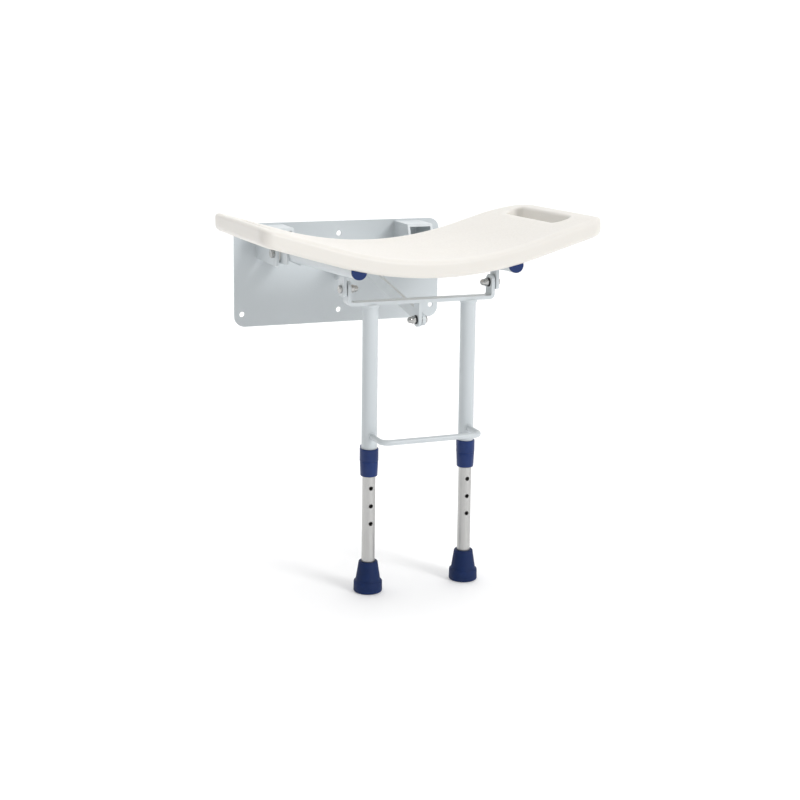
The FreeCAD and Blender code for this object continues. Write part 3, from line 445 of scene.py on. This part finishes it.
class WALLSEAT_OT_painted_steel(WallSeatStep):
    """Powder coat the plate, brackets, tubes, lugs, yoke, legs, rod and stay"""
    bl_idname = "wall_seat.painted_steel"
    bl_label = "Painted Steel"

    def make(self, sizes, colours):
        sides = ["wall_bracket", "seat_tube", "pivot_cheeks", "leg_lug", "upper_leg"]
        pairs = [f"{hand}_{side}" for side in sides for hand in ("left", "right")]
        dress(pairs + ["wall_plate", "stay_bracket", "leg_yoke", "stay_lug", "stretcher_rod", "stay_bar"],
              powder_coat(sizes, colours))


# The seat's plan, from the middle of the wall and ahead of the pivot line. Its mesh is a middle
# part and, on each side, parts around a hand slot, which meet the middle at the seam.
SEAM = 0.172
SLOT_NEAR, SLOT_FAR, SLOT_REAR, SLOT_FRONT, SLOT_CORNER = 0.208, 0.236, 0.088, 0.258, 0.012
CHEEKS_END, CHEEKS_INSIDE = 0.0424, 0.0421
QUARTER = np.linspace(0, np.pi / 2, 7)
WALL_ROWS, LIP_ROWS, FLAT_ROWS = 4, len(QUARTER) - 1, 15
TURN_POINTS, SIDE_POINTS = 44, 30


class WALLSEAT_OT_seat_panel(WallSeatStep):
    """Build and finish the moulded seat with its hand slots and tube channels"""
    bl_idname = "wall_seat.seat_panel"
    bl_label = "Seat Panel"

    def make(self, sizes, colours):
        """Lay four cornered faces over each part. A closed part's last row joins its first."""
        self.sizes = sizes
        middle, (whole, upper, under) = self.middle(), self.wing()
        parts = [(middle, True)] + [(part * [side, 1, 1, 1], part is whole)
                                    for part in (whole, upper, under) for side in (1, -1)]
        points, faces, start = [], [], 0
        for part, closed in parts:
            rows, columns = part.shape[:2]
            row, column = np.meshgrid(np.arange(rows - 1), np.arange(columns if closed else columns - 1),
                                      indexing="ij")
            after = (column + 1) % columns
            quads = np.stack([row * columns + column, row * columns + after,
                              (row + 1) * columns + after, (row + 1) * columns + column], -1)
            faces.append(quads.reshape(-1, 4) + start)
            points.append(part.reshape(-1, 4))
            start += rows * columns
        self.build(np.vstack(points), np.vstack(faces), seat_plastic(sizes, colours))

    def build(self, spots, faces, material):
        """Turn along, ahead, height and tread into a mesh, join its seams and face it outwards."""
        x, ahead, up, tread = spots.T
        up = np.maximum(up, self.channel(x, ahead))
        place = PIVOT + x[:, None] * [1, 0, 0] + ahead[:, None] * FORWARD
        mesh = bpy.data.meshes.new("seat_moulding")
        mesh.from_pydata((place + up[:, None] * UPWARD).tolist(), [], faces.tolist())
        layer = mesh.attributes.new("tread", "FLOAT", "POINT")
        layer.data.foreach_set("value", tread.astype(np.float32))
        shell = bmesh.new()
        shell.from_mesh(mesh)
        bmesh.ops.remove_doubles(shell, verts=shell.verts, dist=2e-6)
        bmesh.ops.dissolve_degenerate(shell, edges=shell.edges, dist=1e-6)
        bmesh.ops.recalc_face_normals(shell, faces=shell.faces)
        shell.to_mesh(mesh)
        shell.free()
        mesh.shade_smooth()
        mesh.materials.append(material)
        seat = bpy.data.objects.new("seat_moulding", mesh)
        bpy.context.scene.collection.objects.link(seat)
        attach(seat, "seat")
        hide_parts("seat_panel")

    def top(self, x, ahead):
        """Height of the top: an arc of the sweep's radius, then straight wings touching it, all
        leaning forward, so that it falls by the lean's tangent times the distance ahead."""
        sizes, side, level = self.sizes, np.abs(x), 0.173
        edge = sizes.seat_sweep * math.sin(sizes.wing)
        arc = sizes.seat_sweep - np.sqrt(sizes.seat_sweep ** 2 - np.minimum(side, edge) ** 2)
        rise = arc + np.maximum(side - edge, 0) * math.tan(sizes.wing)
        return sizes.seat_top + rise - math.tan(sizes.lean) * (ahead - level)

    def deep(self, x):
        """Thickness measured upright: the moulding's own over the cosine of its slope."""
        slope = np.arcsin(np.minimum(np.abs(x) / self.sizes.seat_sweep, math.sin(self.sizes.wing)))
        return self.sizes.seat_thickness / np.cos(slope)

    def channel(self, x, ahead):
        """Roof of the grooves under the seat: a half round over each tube as far as its cap, and a
        flat one over the cheeks; far below elsewhere."""
        groove, cap, cheeks, cheeks_roof, nowhere = 0.0114, 0.3168, 0.0145, 0.0154, -1.0
        off = np.abs(np.abs(x) - TUBE_AXIS)
        tube = np.sqrt(np.maximum(groove ** 2 - off ** 2, 0))
        roof = np.where((off < groove) & (ahead < cap), tube, nowhere)
        return np.where((off < cheeks) & (ahead < CHEEKS_END), cheeks_roof, roof)

    def tread(self, x, ahead):
        """1 on the grained top, 0 on its smooth borders: a soft step in the distance from the
        outline and from the slot, each a rounded rectangle's."""
        sizes = self.sizes
        border = self.inside(np.abs(x), ahead, 0, sizes.seat_width / 2, sizes.seat_rear, sizes.seat_front,
                             np.where(ahead < 0.17, sizes.rear_corner, sizes.front_corner))
        slot = -self.inside(np.abs(x), ahead, SLOT_NEAR, SLOT_FAR, SLOT_REAR, SLOT_FRONT, SLOT_CORNER)
        return np.clip((border - 0.009) / 0.005, 0, 1) * np.clip((slot - 0.005) / 0.004, 0, 1)

    def inside(self, x, ahead, near, far, rear, front, corner):
        """Distance inside a rectangle with rounded corners. One that starts at 0 has no near side:
        it is half of the whole seat."""
        across = np.abs(x - (near + far) / 2) - (far - near) / 2 + corner
        if near == 0:
            across = x - far + corner
        deep = np.abs(ahead - (rear + front) / 2) - (front - rear) / 2 + corner
        outer = np.hypot(np.maximum(across, 0), np.maximum(deep, 0))
        return corner - outer - np.minimum(np.maximum(across, deep), 0)

    def over(self, edge, out, radius):
        """Rows of a quarter circle from the top to a wall: spot, depth, thicknesses down."""
        return [(edge - out * radius * (1 - np.sin(angle)), radius * (1 - np.cos(angle)), 0)
                for angle in QUARTER]

    def under(self, edge, out, radius):
        """Rows of a quarter circle from a wall to the underside."""
        return [(edge - out * radius * (1 - np.cos(angle)), -radius * (1 - np.sin(angle)), 1)
                for angle in QUARTER]

    def wall(self, edge, radius):
        """Rows down a wall between its two quarter circles."""
        return [(edge, radius * (1 - 2 * part), part) for part in np.linspace(0, 1, WALL_ROWS + 1)[1:-1]]

    def section(self, slot, slot_out, edge, edge_out):
        """The moulding's skin from a slot's wall over the top, the rim, the underside and back:
        quarter circles between straight runs. A row is a spot in plan and its depth in two parts:
        how deep, and how many whole thicknesses down it is counted from."""
        rim, lip = self.sizes.rim, self.sizes.slot_rim
        inner, outer = slot + slot_out * lip, edge - edge_out * rim
        share = np.linspace(0, 1, FLAT_ROWS + 1)
        rows = [(slot, lip * (1 - 2 * part), part) for part in np.linspace(1, 0, WALL_ROWS + 1)[:-1]]
        rows += [(slot + slot_out * lip * (1 - np.cos(angle)), lip * (1 - np.sin(angle)), 0)
                 for angle in QUARTER[:-1]]
        rows += [(inner + (outer - inner) * part, 0, 0) for part in share[:-1]]
        rows += self.over(edge, edge_out, rim) + self.wall(edge, rim) + self.under(edge, edge_out, rim)
        rows += [(outer + (inner - outer) * part, 0, 1) for part in share[1:]]
        return rows + [(slot + slot_out * lip * (1 - np.sin(angle)), -lip * (1 - np.cos(angle)), 1)
                       for angle in QUARTER[1:-1]]

    def raise_up(self, rows):
        """Rows of plan points with their depth made into x, ahead, height and tread."""
        grid = []
        for plan, depth, down in rows:
            x, ahead = plan[:, 0], plan[:, 1]
            height = self.top(x, ahead) - depth - down * self.deep(x)
            tread = self.tread(x, ahead) if down == 0 and abs(depth) < 1e-6 else 0 * x
            grid.append(np.stack([x, ahead, height, tread], -1))
        return np.stack(grid, 1)

    def lines(self):
        """Places along the seat's length, from the front rim's edge back to the rear rim's. Two of
        them stand close together, where the flat roof over the cheeks ends."""
        front, rear = self.sizes.seat_front - self.sizes.rim, self.sizes.seat_rear + self.sizes.rim
        return np.concatenate([[front], np.linspace(0.3135, 0.0445, 40), [CHEEKS_END, CHEEKS_INSIDE, rear]])

    def middle(self):
        """The part between the seams: one closed section carried along the wall, in fine steps
        where it crosses the tubes' grooves."""
        half = np.concatenate([np.linspace(0, 0.100, 12)[:-1], np.arange(0.1005, 0.1336, 0.0006),
                               np.linspace(0.1342, SEAM, 10)])
        x = np.concatenate([-half[:0:-1], half])
        lines, rim = self.lines(), self.sizes.rim
        ends = ((self.sizes.seat_rear, -1), (self.sizes.seat_front, 1))
        rear, front = (self.over(edge, way, rim)[1:] + self.wall(edge, rim) + self.under(edge, way, rim)[:-1]
                       for edge, way in ends)
        outline = [(ahead, 0, 0) for ahead in lines] + rear
        outline += [(ahead, 0, 1) for ahead in lines[::-1]] + front[::-1]
        return self.raise_up([(np.stack([x, np.full(len(x), ahead)], -1), depth, down)
                              for ahead, depth, down in outline])

    def wing(self):
        """The parts around one hand slot: whole sections from the slot's outline to the seat's
        rim, and open halves, over and under, from the slot's near wall to the seam."""
        sizes, lines = self.sizes, self.lines()[::-1]
        far, rear, front = sizes.seat_width / 2, sizes.seat_rear, sizes.seat_front
        rear_turn, front_turn = rear + sizes.rear_corner, front - sizes.front_corner
        low, high = SLOT_REAR + SLOT_CORNER, SLOT_FRONT - SLOT_CORNER
        edge, edge_out = around([
            corner_path([(SEAM, front), (far, front), (far, front_turn)], sizes.front_corner, TURN_POINTS),
            corner_path([(far, front_turn), (far, rear_turn)], 0, SIDE_POINTS),
            corner_path([(far, rear_turn), (far, rear), (SEAM, rear)], sizes.rear_corner, TURN_POINTS)])
        slot, slot_out = around([
            corner_path([(SLOT_NEAR, high), (SLOT_NEAR, SLOT_FRONT), (SLOT_FAR, SLOT_FRONT),
                         (SLOT_FAR, high)], SLOT_CORNER, TURN_POINTS),
            corner_path([(SLOT_FAR, high), (SLOT_FAR, low)], 0, SIDE_POINTS),
            corner_path([(SLOT_FAR, low), (SLOT_FAR, SLOT_REAR), (SLOT_NEAR, SLOT_REAR),
                         (SLOT_NEAR, low)], SLOT_CORNER, TURN_POINTS)])
        whole = self.raise_up(self.section(slot, slot_out, edge, edge_out))
        count = len(lines)
        inner = low + (SLOT_FRONT - SLOT_REAR - 2 * SLOT_CORNER) * np.linspace(0, 1, count)
        seam = np.stack([np.full(count, SEAM), lines], -1)
        near_wall = np.stack([np.full(count, SLOT_NEAR), inner], -1)
        rows = self.section(near_wall, np.tile([-1.0, 0.0], (count, 1)), seam, seam * 0)
        upper = self.raise_up(rows[:WALL_ROWS + LIP_ROWS + FLAT_ROWS] + [(seam, 0, 0)])
        under = self.raise_up([(seam, 0, 1)] + rows[-(FLAT_ROWS + LIP_ROWS - 1):] + rows[:1])
        return whole, upper, under


def around(paths):
    """Paths that follow each other joined into one, with the ways out of it."""
    return (np.vstack([path[part][:-1] for path in paths[:-1]] + [paths[-1][part]]) for part in (0, 1))


def corner_path(corners, radius, count):
    """Evenly spaced points along straight runs joined by quarter circles, and the way out of each."""
    points, outs = [], []
    corners = np.array(corners, float)
    angle = np.linspace(0, np.pi / 2, 33)[:, None]
    for first, turn, last in zip(corners[:-2], corners[1:-1], corners[2:]):
        back, ahead = unit(first - turn), unit(last - turn)
        middle = turn + (back + ahead) * radius
        outs.append(-ahead * np.cos(angle) - back * np.sin(angle))
        points.append(middle + outs[-1] * radius)
    if points:
        points = np.vstack([corners[:1], *points, corners[-1:]])
        outs = np.vstack([outs[0][:1], *outs, outs[-1][-1:]])
    else:
        run = unit(corners[1] - corners[0])
        points, outs = corners, np.tile([-run[1], run[0]], (2, 1))
    run = np.concatenate([[0], np.cumsum(np.linalg.norm(np.diff(points, axis=0), axis=1))])
    keep = np.concatenate([[True], np.diff(run) > 1e-9])
    even = np.linspace(0, run[-1], count)
    points, outs = (np.stack([np.interp(even, run[keep], part[keep, n]) for n in (0, 1)], -1)
                    for part in (points, outs))
    return points, unit(outs)


class WALLSEAT_OT_sliding_legs(WallSeatStep):
    """Finish the aluminium sliding legs"""
    bl_idname = "wall_seat.sliding_legs"
    bl_label = "Sliding Legs"

    def make(self, sizes, colours):
        dress(["left_lower_leg", "right_lower_leg"],
              brushed_metal("satin_aluminium_finish", colours.aluminium, 0.38, (1, 1, 0.03)))


class WALLSEAT_OT_feet(WallSeatStep):
    """Build and finish the rubber feet"""
    bl_idname = "wall_seat.feet"
    bl_label = "Feet"

    def make(self, sizes, colours):
        """Each foot is turned: a flat sole, a band with soft edges, a step and a cone to its rim."""
        material = blue_rubber(colours)
        base, rim = sizes.foot_width / 2, sizes.foot_rim / 2
        step = base - 0.0029
        rows = [(0, base - 0.0022, 0), (0.0003, base - 0.0012, 0), (0.0009, base - 0.0004, 0),
                (0.0020, base, 0), (0.0148, base - 0.0003, 0), (0.0158, base - 0.0006, 0),
                (0.0163, base - 0.0013, 0), (0.0166, step + 0.0006, 0), (0.0172, step + 0.0001, 0),
                (0.0186, step - 0.0002, 0), (0.0435, rim + 0.0001, 0), (0.0444, rim - 0.0002, 0),
                (0.0449, rim - 0.0009, 0), (0.0450, rim - 0.0018, 0), (0.0448, 0.0101, 0),
                (0.0430, 0.0093, 0)]
        for hand in ("left", "right"):
            spot = (*centre(f"{hand}_foot")[:2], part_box(f"{hand}_foot")[0].z)
            foot = skin(f"{hand}_rubber_foot", lathe(rows, spot, (0, 0, 1), 96), material,
                        f"{hand}_slide")
            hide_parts(f"{hand}_foot")


class WALLSEAT_OT_collars(WallSeatStep):
    """Finish the blue collars, the lock saddles and the tube caps"""
    bl_idname = "wall_seat.collars"
    bl_label = "Collars and Caps"

    def make(self, sizes, colours):
        dress(["left_collar", "right_collar", "left_lock_pin", "right_lock_pin"],
              blue_plastic("blue_plastic_finish", colours.blue))
        dress(["left_tube_cap", "right_tube_cap"], blue_plastic("cap_plastic_finish", colours.cap, 0.26))
        self.skirts(sizes, NODES["left_collar"].material_slots[0].material)

    def skirts(self, sizes, material):
        """The collar's lower part: a turned ring that narrows a little to its rounded lower rim."""
        top = sizes.skirt / 2
        rows = [(0, 0.0113, 0), (0, top - 0.0006, 0), (0.0003, top - 0.0002, 0), (0.0009, top, 0),
                (0.0208, top - 0.0008, 0), (0.0216, top - 0.0011, 0), (0.0221, top - 0.0018, 0),
                (0.0222, top - 0.0026, 0), (0.0220, 0.0100, 0), (0.0205, 0.0098, 0), (0.0020, 0.0098, 0)]
        for hand in ("left", "right"):
            spot = (*centre(f"{hand}_collar")[:2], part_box(f"{hand}_collar")[1].z - 0.0179)
            grid = lathe(rows, spot, (0, 0, -1), 72)
            skin(f"{hand}_collar_skirt", grid, material, "legs", looped=True)


class WALLSEAT_OT_bolts(WallSeatStep):
    """Finish the bolts, nuts, screws and steel washers"""
    bl_idname = "wall_seat.bolts"
    bl_label = "Bolts and Nuts"

    def make(self, sizes, colours):
        dress(["wall_pivot_bolts", "wall_pivot_nuts", "stay_wall_bolt", "stay_wall_nut", "stay_wall_washers",
               "stay_front_spacer", "seat_screws", "pivot_sleeves"],
              brushed_metal("bright_steel_finish", colours.steel, 0.24, (0.15, 1, 1), 0.0005))
        material = NODES["wall_pivot_bolts"].material_slots[0].material
        head_face, nut_face, reach = 0.1185, 0.1054, 0.0201
        spot = centre("leg_pivot_bolts")[1:]
        for hand, side in (("left", -1), ("right", 1)):
            bolt = self.bolt(f"{hand}_leg_bolt", (side * head_face, *spot), -side, reach, sizes, material,
                             "seat")
            nut = self.dome_nut(f"{hand}_dome_nut", (side * nut_face, *spot), -side, sizes, material, "seat")
        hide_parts("leg_pivot_bolts")
        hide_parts("leg_pivot_nuts")
        spot, bar_face, nut_face = centre("stay_front_bolt")[1:], 0.006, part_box("stay_lug")[0].x - 0.0016
        bolt = self.bolt("stay_pin_bolt", (bar_face, *spot), -1, reach, sizes, material, "legs")
        nut = self.dome_nut("stay_pin_dome_nut", (nut_face, *spot), -1, sizes, material, "legs")
        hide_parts("stay_front_bolt")
        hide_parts("stay_front_nut")

    def bolt(self, name, spot, way, reach, sizes, material, body):
        """A turned hexagon head, its outer corners cut by a cone, on a round shank."""
        flats, shank = sizes.nut_flats, sizes.leg_bolt / 2
        rows = [(-0.0040, flats * 0.46, flats), (-0.0039, flats * 0.50, flats),
                (-0.0033, flats * 0.585, flats), (-0.0002, flats * 0.585, flats), (0, flats * 0.55, flats),
                (0, shank, 0), (reach, shank, 0)]
        return skin(name, lathe(rows, spot, (way, 0, 0), 72), material, body)

    def dome_nut(self, name, spot, way, sizes, material, body):
        """A hexagon base cut by a cone at both faces, under a cylinder closed by half a sphere."""
        flats, radius = sizes.nut_flats, sizes.nut_flats * 0.465
        rows = [(0, flats * 0.53, flats), (0.0004, flats * 0.585, flats), (0.0044, flats * 0.585, flats),
                (0.0049, flats * 0.52, flats), (0.0050, radius + 0.0001, 0), (0.0053, radius, 0)]
        angle = np.linspace(0, np.pi / 2 * 0.98, 14)
        base = sizes.nut_height - radius
        rows += list(zip(base + radius * np.sin(angle), radius * np.cos(angle), 0 * angle))
        return skin(name, lathe(rows, spot, (way, 0, 0), 72), material, body)


class WALLSEAT_OT_spacers(WallSeatStep):
    """Finish the nylon spacers and the black washers"""
    bl_idname = "wall_seat.spacers"
    bl_label = "Spacers and Washers"

    def make(self, sizes, colours):
        nylon = plain_moulding("nylon_finish", colours.nylon, 0.42)
        black = plain_moulding("black_plastic_finish", colours.black, 0.4)
        dress(["wall_pivot_spacers"], nylon)
        lug_face, ear_face, spacer_height, washer_height = 0.114, 0.107, 0.002, 0.0016
        spot = centre("leg_pivot_bolts")[1:]
        for hand, side in (("left", -1), ("right", 1)):
            spacer = self.washer(f"{hand}_leg_spacer", (side * lug_face, *spot), -side, spacer_height, sizes,
                                 nylon, "seat", "white_plastic")
            washer = self.washer(f"{hand}_black_washer", (side * ear_face, *spot), -side, washer_height,
                                 sizes, black, "seat", "black_plastic")
        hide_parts("leg_pivot_spacers")
        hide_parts("leg_pivot_washers")
        spot = (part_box("stay_lug")[0].x, *centre("stay_front_bolt")[1:])
        washer = self.washer("stay_black_washer", spot, -1, washer_height, sizes, black, "legs",
                             "black_plastic")
        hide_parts("stay_front_washer")

    def washer(self, name, spot, way, height, sizes, material, body, slot):
        """A turned flat ring with softened outer edges."""
        edge, hole, soft = sizes.leg_washer / 2, sizes.leg_bolt / 2 + 0.0001, 0.0003
        rows = [(0, hole, 0), (0, edge - soft, 0), (soft * 0.3, edge - soft * 0.3, 0), (soft, edge, 0),
                (height - soft, edge, 0), (height - soft * 0.3, edge - soft * 0.3, 0),
                (height, edge - soft, 0), (height, hole, 0)]
        return skin(name, lathe(rows, spot, (way, 0, 0), 64), material, body, looped=True)


class WALLSEAT_OT_leg_welds(WallSeatStep):
    """Add the flared welds between the legs and the yoke"""
    bl_idname = "wall_seat.leg_welds"
    bl_label = "Leg Welds"

    def make(self, sizes, colours):
        material = NODES["leg_yoke"].material_slots[0].material
        for hand in ("left", "right"):
            low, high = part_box(f"{hand}_upper_leg")
            middle = np.array([(low.x + high.x) / 2, (low.y + high.y) / 2, high.z])
            radius = (high.x - low.x) / 2
            skin(f"{hand}_leg_weld", self.flare(middle, radius, sizes), material, "legs",
                 looped=True)

    def flare(self, middle, radius, sizes):
        """A ring around the tube's top: its section is a flattened circle, drawn out downwards,
        rippled around the tube by a cosine."""
        turn = np.linspace(0, 2 * np.pi, 96, endpoint=False)[:, None]
        angle = np.linspace(0, 2 * np.pi, 16, endpoint=False)[None, :]
        waves = round(2 * np.pi * radius / sizes.ripple)
        swell = 1 + 0.07 * np.cos(waves * turn)
        out = radius - 0.0006 + sizes.leg_weld * swell * np.cos(angle)
        drop = np.where(np.sin(angle) < 0, sizes.leg_weld_drop * swell, 0.0014 * swell)
        x = middle[0] + out * np.cos(turn)
        y = middle[1] + out * np.sin(turn)
        z = middle[2] - 0.0002 + drop * np.sin(angle) + 0 * turn
        return np.stack([x, y, z], -1)


class WALLSEAT_OT_rod_welds(WallSeatStep):
    """Add the beads around the ends of the stretcher rod"""
    bl_idname = "wall_seat.rod_welds"
    bl_label = "Rod Welds"

    def make(self, sizes, colours):
        """Each bead follows the line where a round rod meets a round tube: a circle in x and z
        laid on the tube's front, y = -sqrt(tube radius squared - x squared)."""
        material = NODES["stretcher_rod"].material_slots[0].material
        low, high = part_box("stretcher_rod")
        rod, up = (high.z - low.z) / 2 + 0.0006, (high.z + low.z) / 2
        turn = np.linspace(0, 2 * np.pi, 72, endpoint=False)
        for hand in ("left", "right"):
            tube_low, tube_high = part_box(f"{hand}_upper_leg")
            x, y = (tube_low.x + tube_high.x) / 2, (tube_low.y + tube_high.y) / 2
            radius = (tube_high.x - tube_low.x) / 2
            across = rod * np.cos(turn)
            path = np.stack([x + across, y - np.sqrt(radius ** 2 - across ** 2), up + rod * np.sin(turn)], 1)
            out = path - np.array([x, y, up])
            skin(f"{hand}_rod_weld", bead(path, out, sizes.rod_weld, sizes.ripple, looped=True),
                 material, "legs", looped=True)


class WALLSEAT_OT_lug_welds(WallSeatStep):
    """Add the beads between the lugs and what carries them"""
    bl_idname = "wall_seat.lug_welds"
    bl_label = "Lug Welds"

    def make(self, sizes, colours):
        material = NODES["leg_yoke"].material_slots[0].material
        rear, front = 0.2385, 0.2555
        for sign, hand in ((-1, "left"), (1, "right")):
            low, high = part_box(f"{hand}_leg_lug")
            for face, x, out in (("inner", low.x, -1), ("outer", high.x, 1)):
                if sign < 0:
                    face = "outer" if face == "inner" else "inner"
                up = -math.sqrt(TUBE_RADIUS ** 2 - (abs(x) - TUBE_AXIS) ** 2)
                ends = [seat_spot(x, ahead, up) for ahead in (rear, front)]
                bead_line(f"{hand}_lug_{face}_weld", *ends, (out, 0, 0), sizes.plate_weld, sizes.ripple,
                          material, "seat")
        low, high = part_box("stay_lug")
        for face, x, out in (("left", low.x, -1), ("right", high.x, 1)):
            bead_line(f"stay_lug_{face}_weld", (x, low.y + 0.0015, high.z), (x, high.y - 0.0015, high.z),
                      (out, 0, -0.4), sizes.plate_weld, sizes.ripple, material, "legs")


class WALLSEAT_OT_bracket_welds(WallSeatStep):
    """Add the beads between the brackets and the wall plate"""
    bl_idname = "wall_seat.bracket_welds"
    bl_label = "Bracket Welds"

    def make(self, sizes, colours):
        material = NODES["wall_plate"].material_slots[0].material
        for hand in ("left", "right"):
            low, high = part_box(f"{hand}_wall_bracket")
            for face, x, out in (("left", low.x, -1), ("right", high.x, 1)):
                bead_line(f"{hand}_bracket_{face}_weld", (x, high.y, low.z + 0.002),
                          (x, high.y, high.z - 0.002), (out, 0, 0), sizes.plate_weld, sizes.ripple, material,
                          "wall")
            bead_line(f"{hand}_bracket_top_weld", (low.x + 0.002, high.y, high.z),
                      (high.x - 0.002, high.y, high.z), (0, 0, 1), sizes.plate_weld, sizes.ripple, material,
                      "wall")
        low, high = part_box("stay_bracket")
        for face, x, out in (("left", low.x, -1), ("right", high.x, 1)):
            bead_line(f"stay_bracket_{face}_weld", (x, high.y, low.z + 0.0015), (x, high.y, high.z - 0.0015),
                      (out, 0, 0), sizes.plate_weld, sizes.ripple, material, "wall")


class WALLSEAT_OT_stage(WallSeatStep):
    """Add the floor, the studio light and the camera"""
    bl_idname = "wall_seat.stage"
    bl_label = "Studio"

    def make(self, sizes, colours):
        self.floor(colours)
        self.lights()
        self.camera()
        bpy.context.scene.view_settings.view_transform = "Standard"
        bpy.context.scene.view_settings.look = "None"

    def floor(self, colours):
        """A wide sheet: flat under the feet, then a quarter circle far behind, then upright."""
        low, wide, far, radius, tall = CAD_BOX[0][2] - 0.0002, 14.0, 4, 3, 12
        bend = np.linspace(0, np.pi / 2, 25)
        out = np.concatenate([[-wide], far + radius * np.sin(bend), [far + radius]])
        up = np.concatenate([[low], low + radius * (1 - np.cos(bend)), [low + tall]])
        grid = np.stack([np.stack([np.full(len(out), x), out, up], -1) for x in (-wide, wide)], 1)
        first = np.arange(len(out) - 1) * 2
        mesh = bpy.data.meshes.new("studio_floor")
        mesh.from_pydata(grid.reshape(-1, 3).tolist(), [],
                         np.stack([first, first + 1, first + 3, first + 2], -1).tolist())
        mesh.shade_smooth()
        floor = bpy.data.objects.new("studio_floor", mesh)
        bpy.context.scene.collection.objects.link(floor)
        finish = Finish("studio_floor_finish", Emission_Color=(1, 1, 1, 1), Emission_Strength=0.15)
        mottle = finish.noise(0.4, 3)
        pale, paler = shade(colours.floor, 0.99), shade(colours.floor, 1.01)
        finish.feed("Base Color", finish.blend(mottle, pale, paler))
        finish.feed("Roughness", finish.span(mottle, 0.3, 0.7, 0.6, 0.7))
        mesh.materials.append(finish.material)

    def lights(self):
        world = bpy.data.worlds.new("studio_world")
        bpy.context.scene.world = world
        world.use_nodes = True
        background = world.node_tree.nodes["Background"]
        background.inputs["Color"].default_value = (1, 1, 1, 1)
        background.inputs["Strength"].default_value = 0.45
        self.lamp("front", (0.9, -1.8, 1.0), spread=20, power=1.4)
        self.lamp("above", (0.3, 0.4, 2.2), spread=60, power=1.8)

    def lamp(self, name, spot, spread, power, aim=(0, -0.2, 0)):
        """A far soft light: its rays come from a round patch of sky as wide as the spread."""
        data = bpy.data.lights.new(name, "SUN")
        data.angle, data.energy = math.radians(spread), power
        lamp = bpy.data.objects.new(name, data)
        bpy.context.scene.collection.objects.link(lamp)
        back = unit(np.array(spot, float) - np.array(aim, float))
        right = unit(np.cross([0, 0, 1.0], back))
        lamp.matrix_world = facing(spot, right, np.cross(back, right), back)

    def camera(self):
        """Stands where the photograph's lines meet: its way is yaw and pitch, then a small roll."""
        yaw, pitch, roll = (math.radians(angle) for angle in (22.16, 9.32, 0.74))
        ahead = np.array([math.sin(yaw) * math.cos(pitch), math.cos(yaw) * math.cos(pitch), -math.sin(pitch)])
        level = np.array([math.cos(yaw), -math.sin(yaw), 0])
        upright = np.cross(level, ahead)
        right = math.cos(roll) * level + math.sin(roll) * upright
        up = -math.sin(roll) * level + math.cos(roll) * upright
        data = bpy.data.cameras.new("photo_view")
        data.sensor_width, data.lens, data.shift_y = 36, 67.5, -0.125
        data.clip_start, data.clip_end = 0.05, 60
        camera = bpy.data.objects.new("photo_view", data)
        bpy.context.scene.collection.objects.link(camera)
        camera.matrix_world = facing((-0.81582, -2.27191, 0.34946), right, up, -ahead)
        bpy.context.scene.camera = camera


def facing(spot, right, up, back):
    """The matrix of an object at a spot with its three axes given."""
    matrix = Matrix.Identity(4)
    for column, axis in enumerate((right, up, back, spot)):
        for row in range(3):
            matrix[row][column] = axis[row]
    return matrix


STEPS = [WALLSEAT_OT_painted_steel, WALLSEAT_OT_seat_panel, WALLSEAT_OT_sliding_legs, WALLSEAT_OT_feet,
         WALLSEAT_OT_collars, WALLSEAT_OT_bolts, WALLSEAT_OT_spacers, WALLSEAT_OT_leg_welds,
         WALLSEAT_OT_rod_welds, WALLSEAT_OT_lug_welds, WALLSEAT_OT_bracket_welds, WALLSEAT_OT_stage]


class WALLSEAT_PT_steps(Panel):
    """Lists the steps and their sizes and colours"""
    bl_idname = "WALLSEAT_PT_steps"
    bl_label = "Fold Down Wall Seat"
    bl_space_type = "VIEW_3D"
    bl_region_type = "UI"
    bl_category = "Wall Seat"

    def draw(self, context):
        for step in STEPS:
            self.layout.operator(step.bl_idname)
        for group in (context.scene.wall_seat_sizes, context.scene.wall_seat_colours):
            box = self.layout.box()
            for name in type(group).__annotations__:
                box.prop(group, name)


CLASSES = [WallSeatSizes, WallSeatColours, *STEPS, WALLSEAT_PT_steps]


def register():
    for item in CLASSES:
        bpy.utils.register_class(item)
    bpy.types.Scene.wall_seat_sizes = PointerProperty(type=WallSeatSizes)
    bpy.types.Scene.wall_seat_colours = PointerProperty(type=WallSeatColours)


def unregister():
    del bpy.types.Scene.wall_seat_colours
    del bpy.types.Scene.wall_seat_sizes
    for item in reversed(CLASSES):
        bpy.utils.unregister_class(item)


def main():
    register()
    for step in STEPS:
        group, name = step.bl_idname.split(".")
        getattr(getattr(bpy.ops, group), name)()


if __name__ == "__main__":
    main()
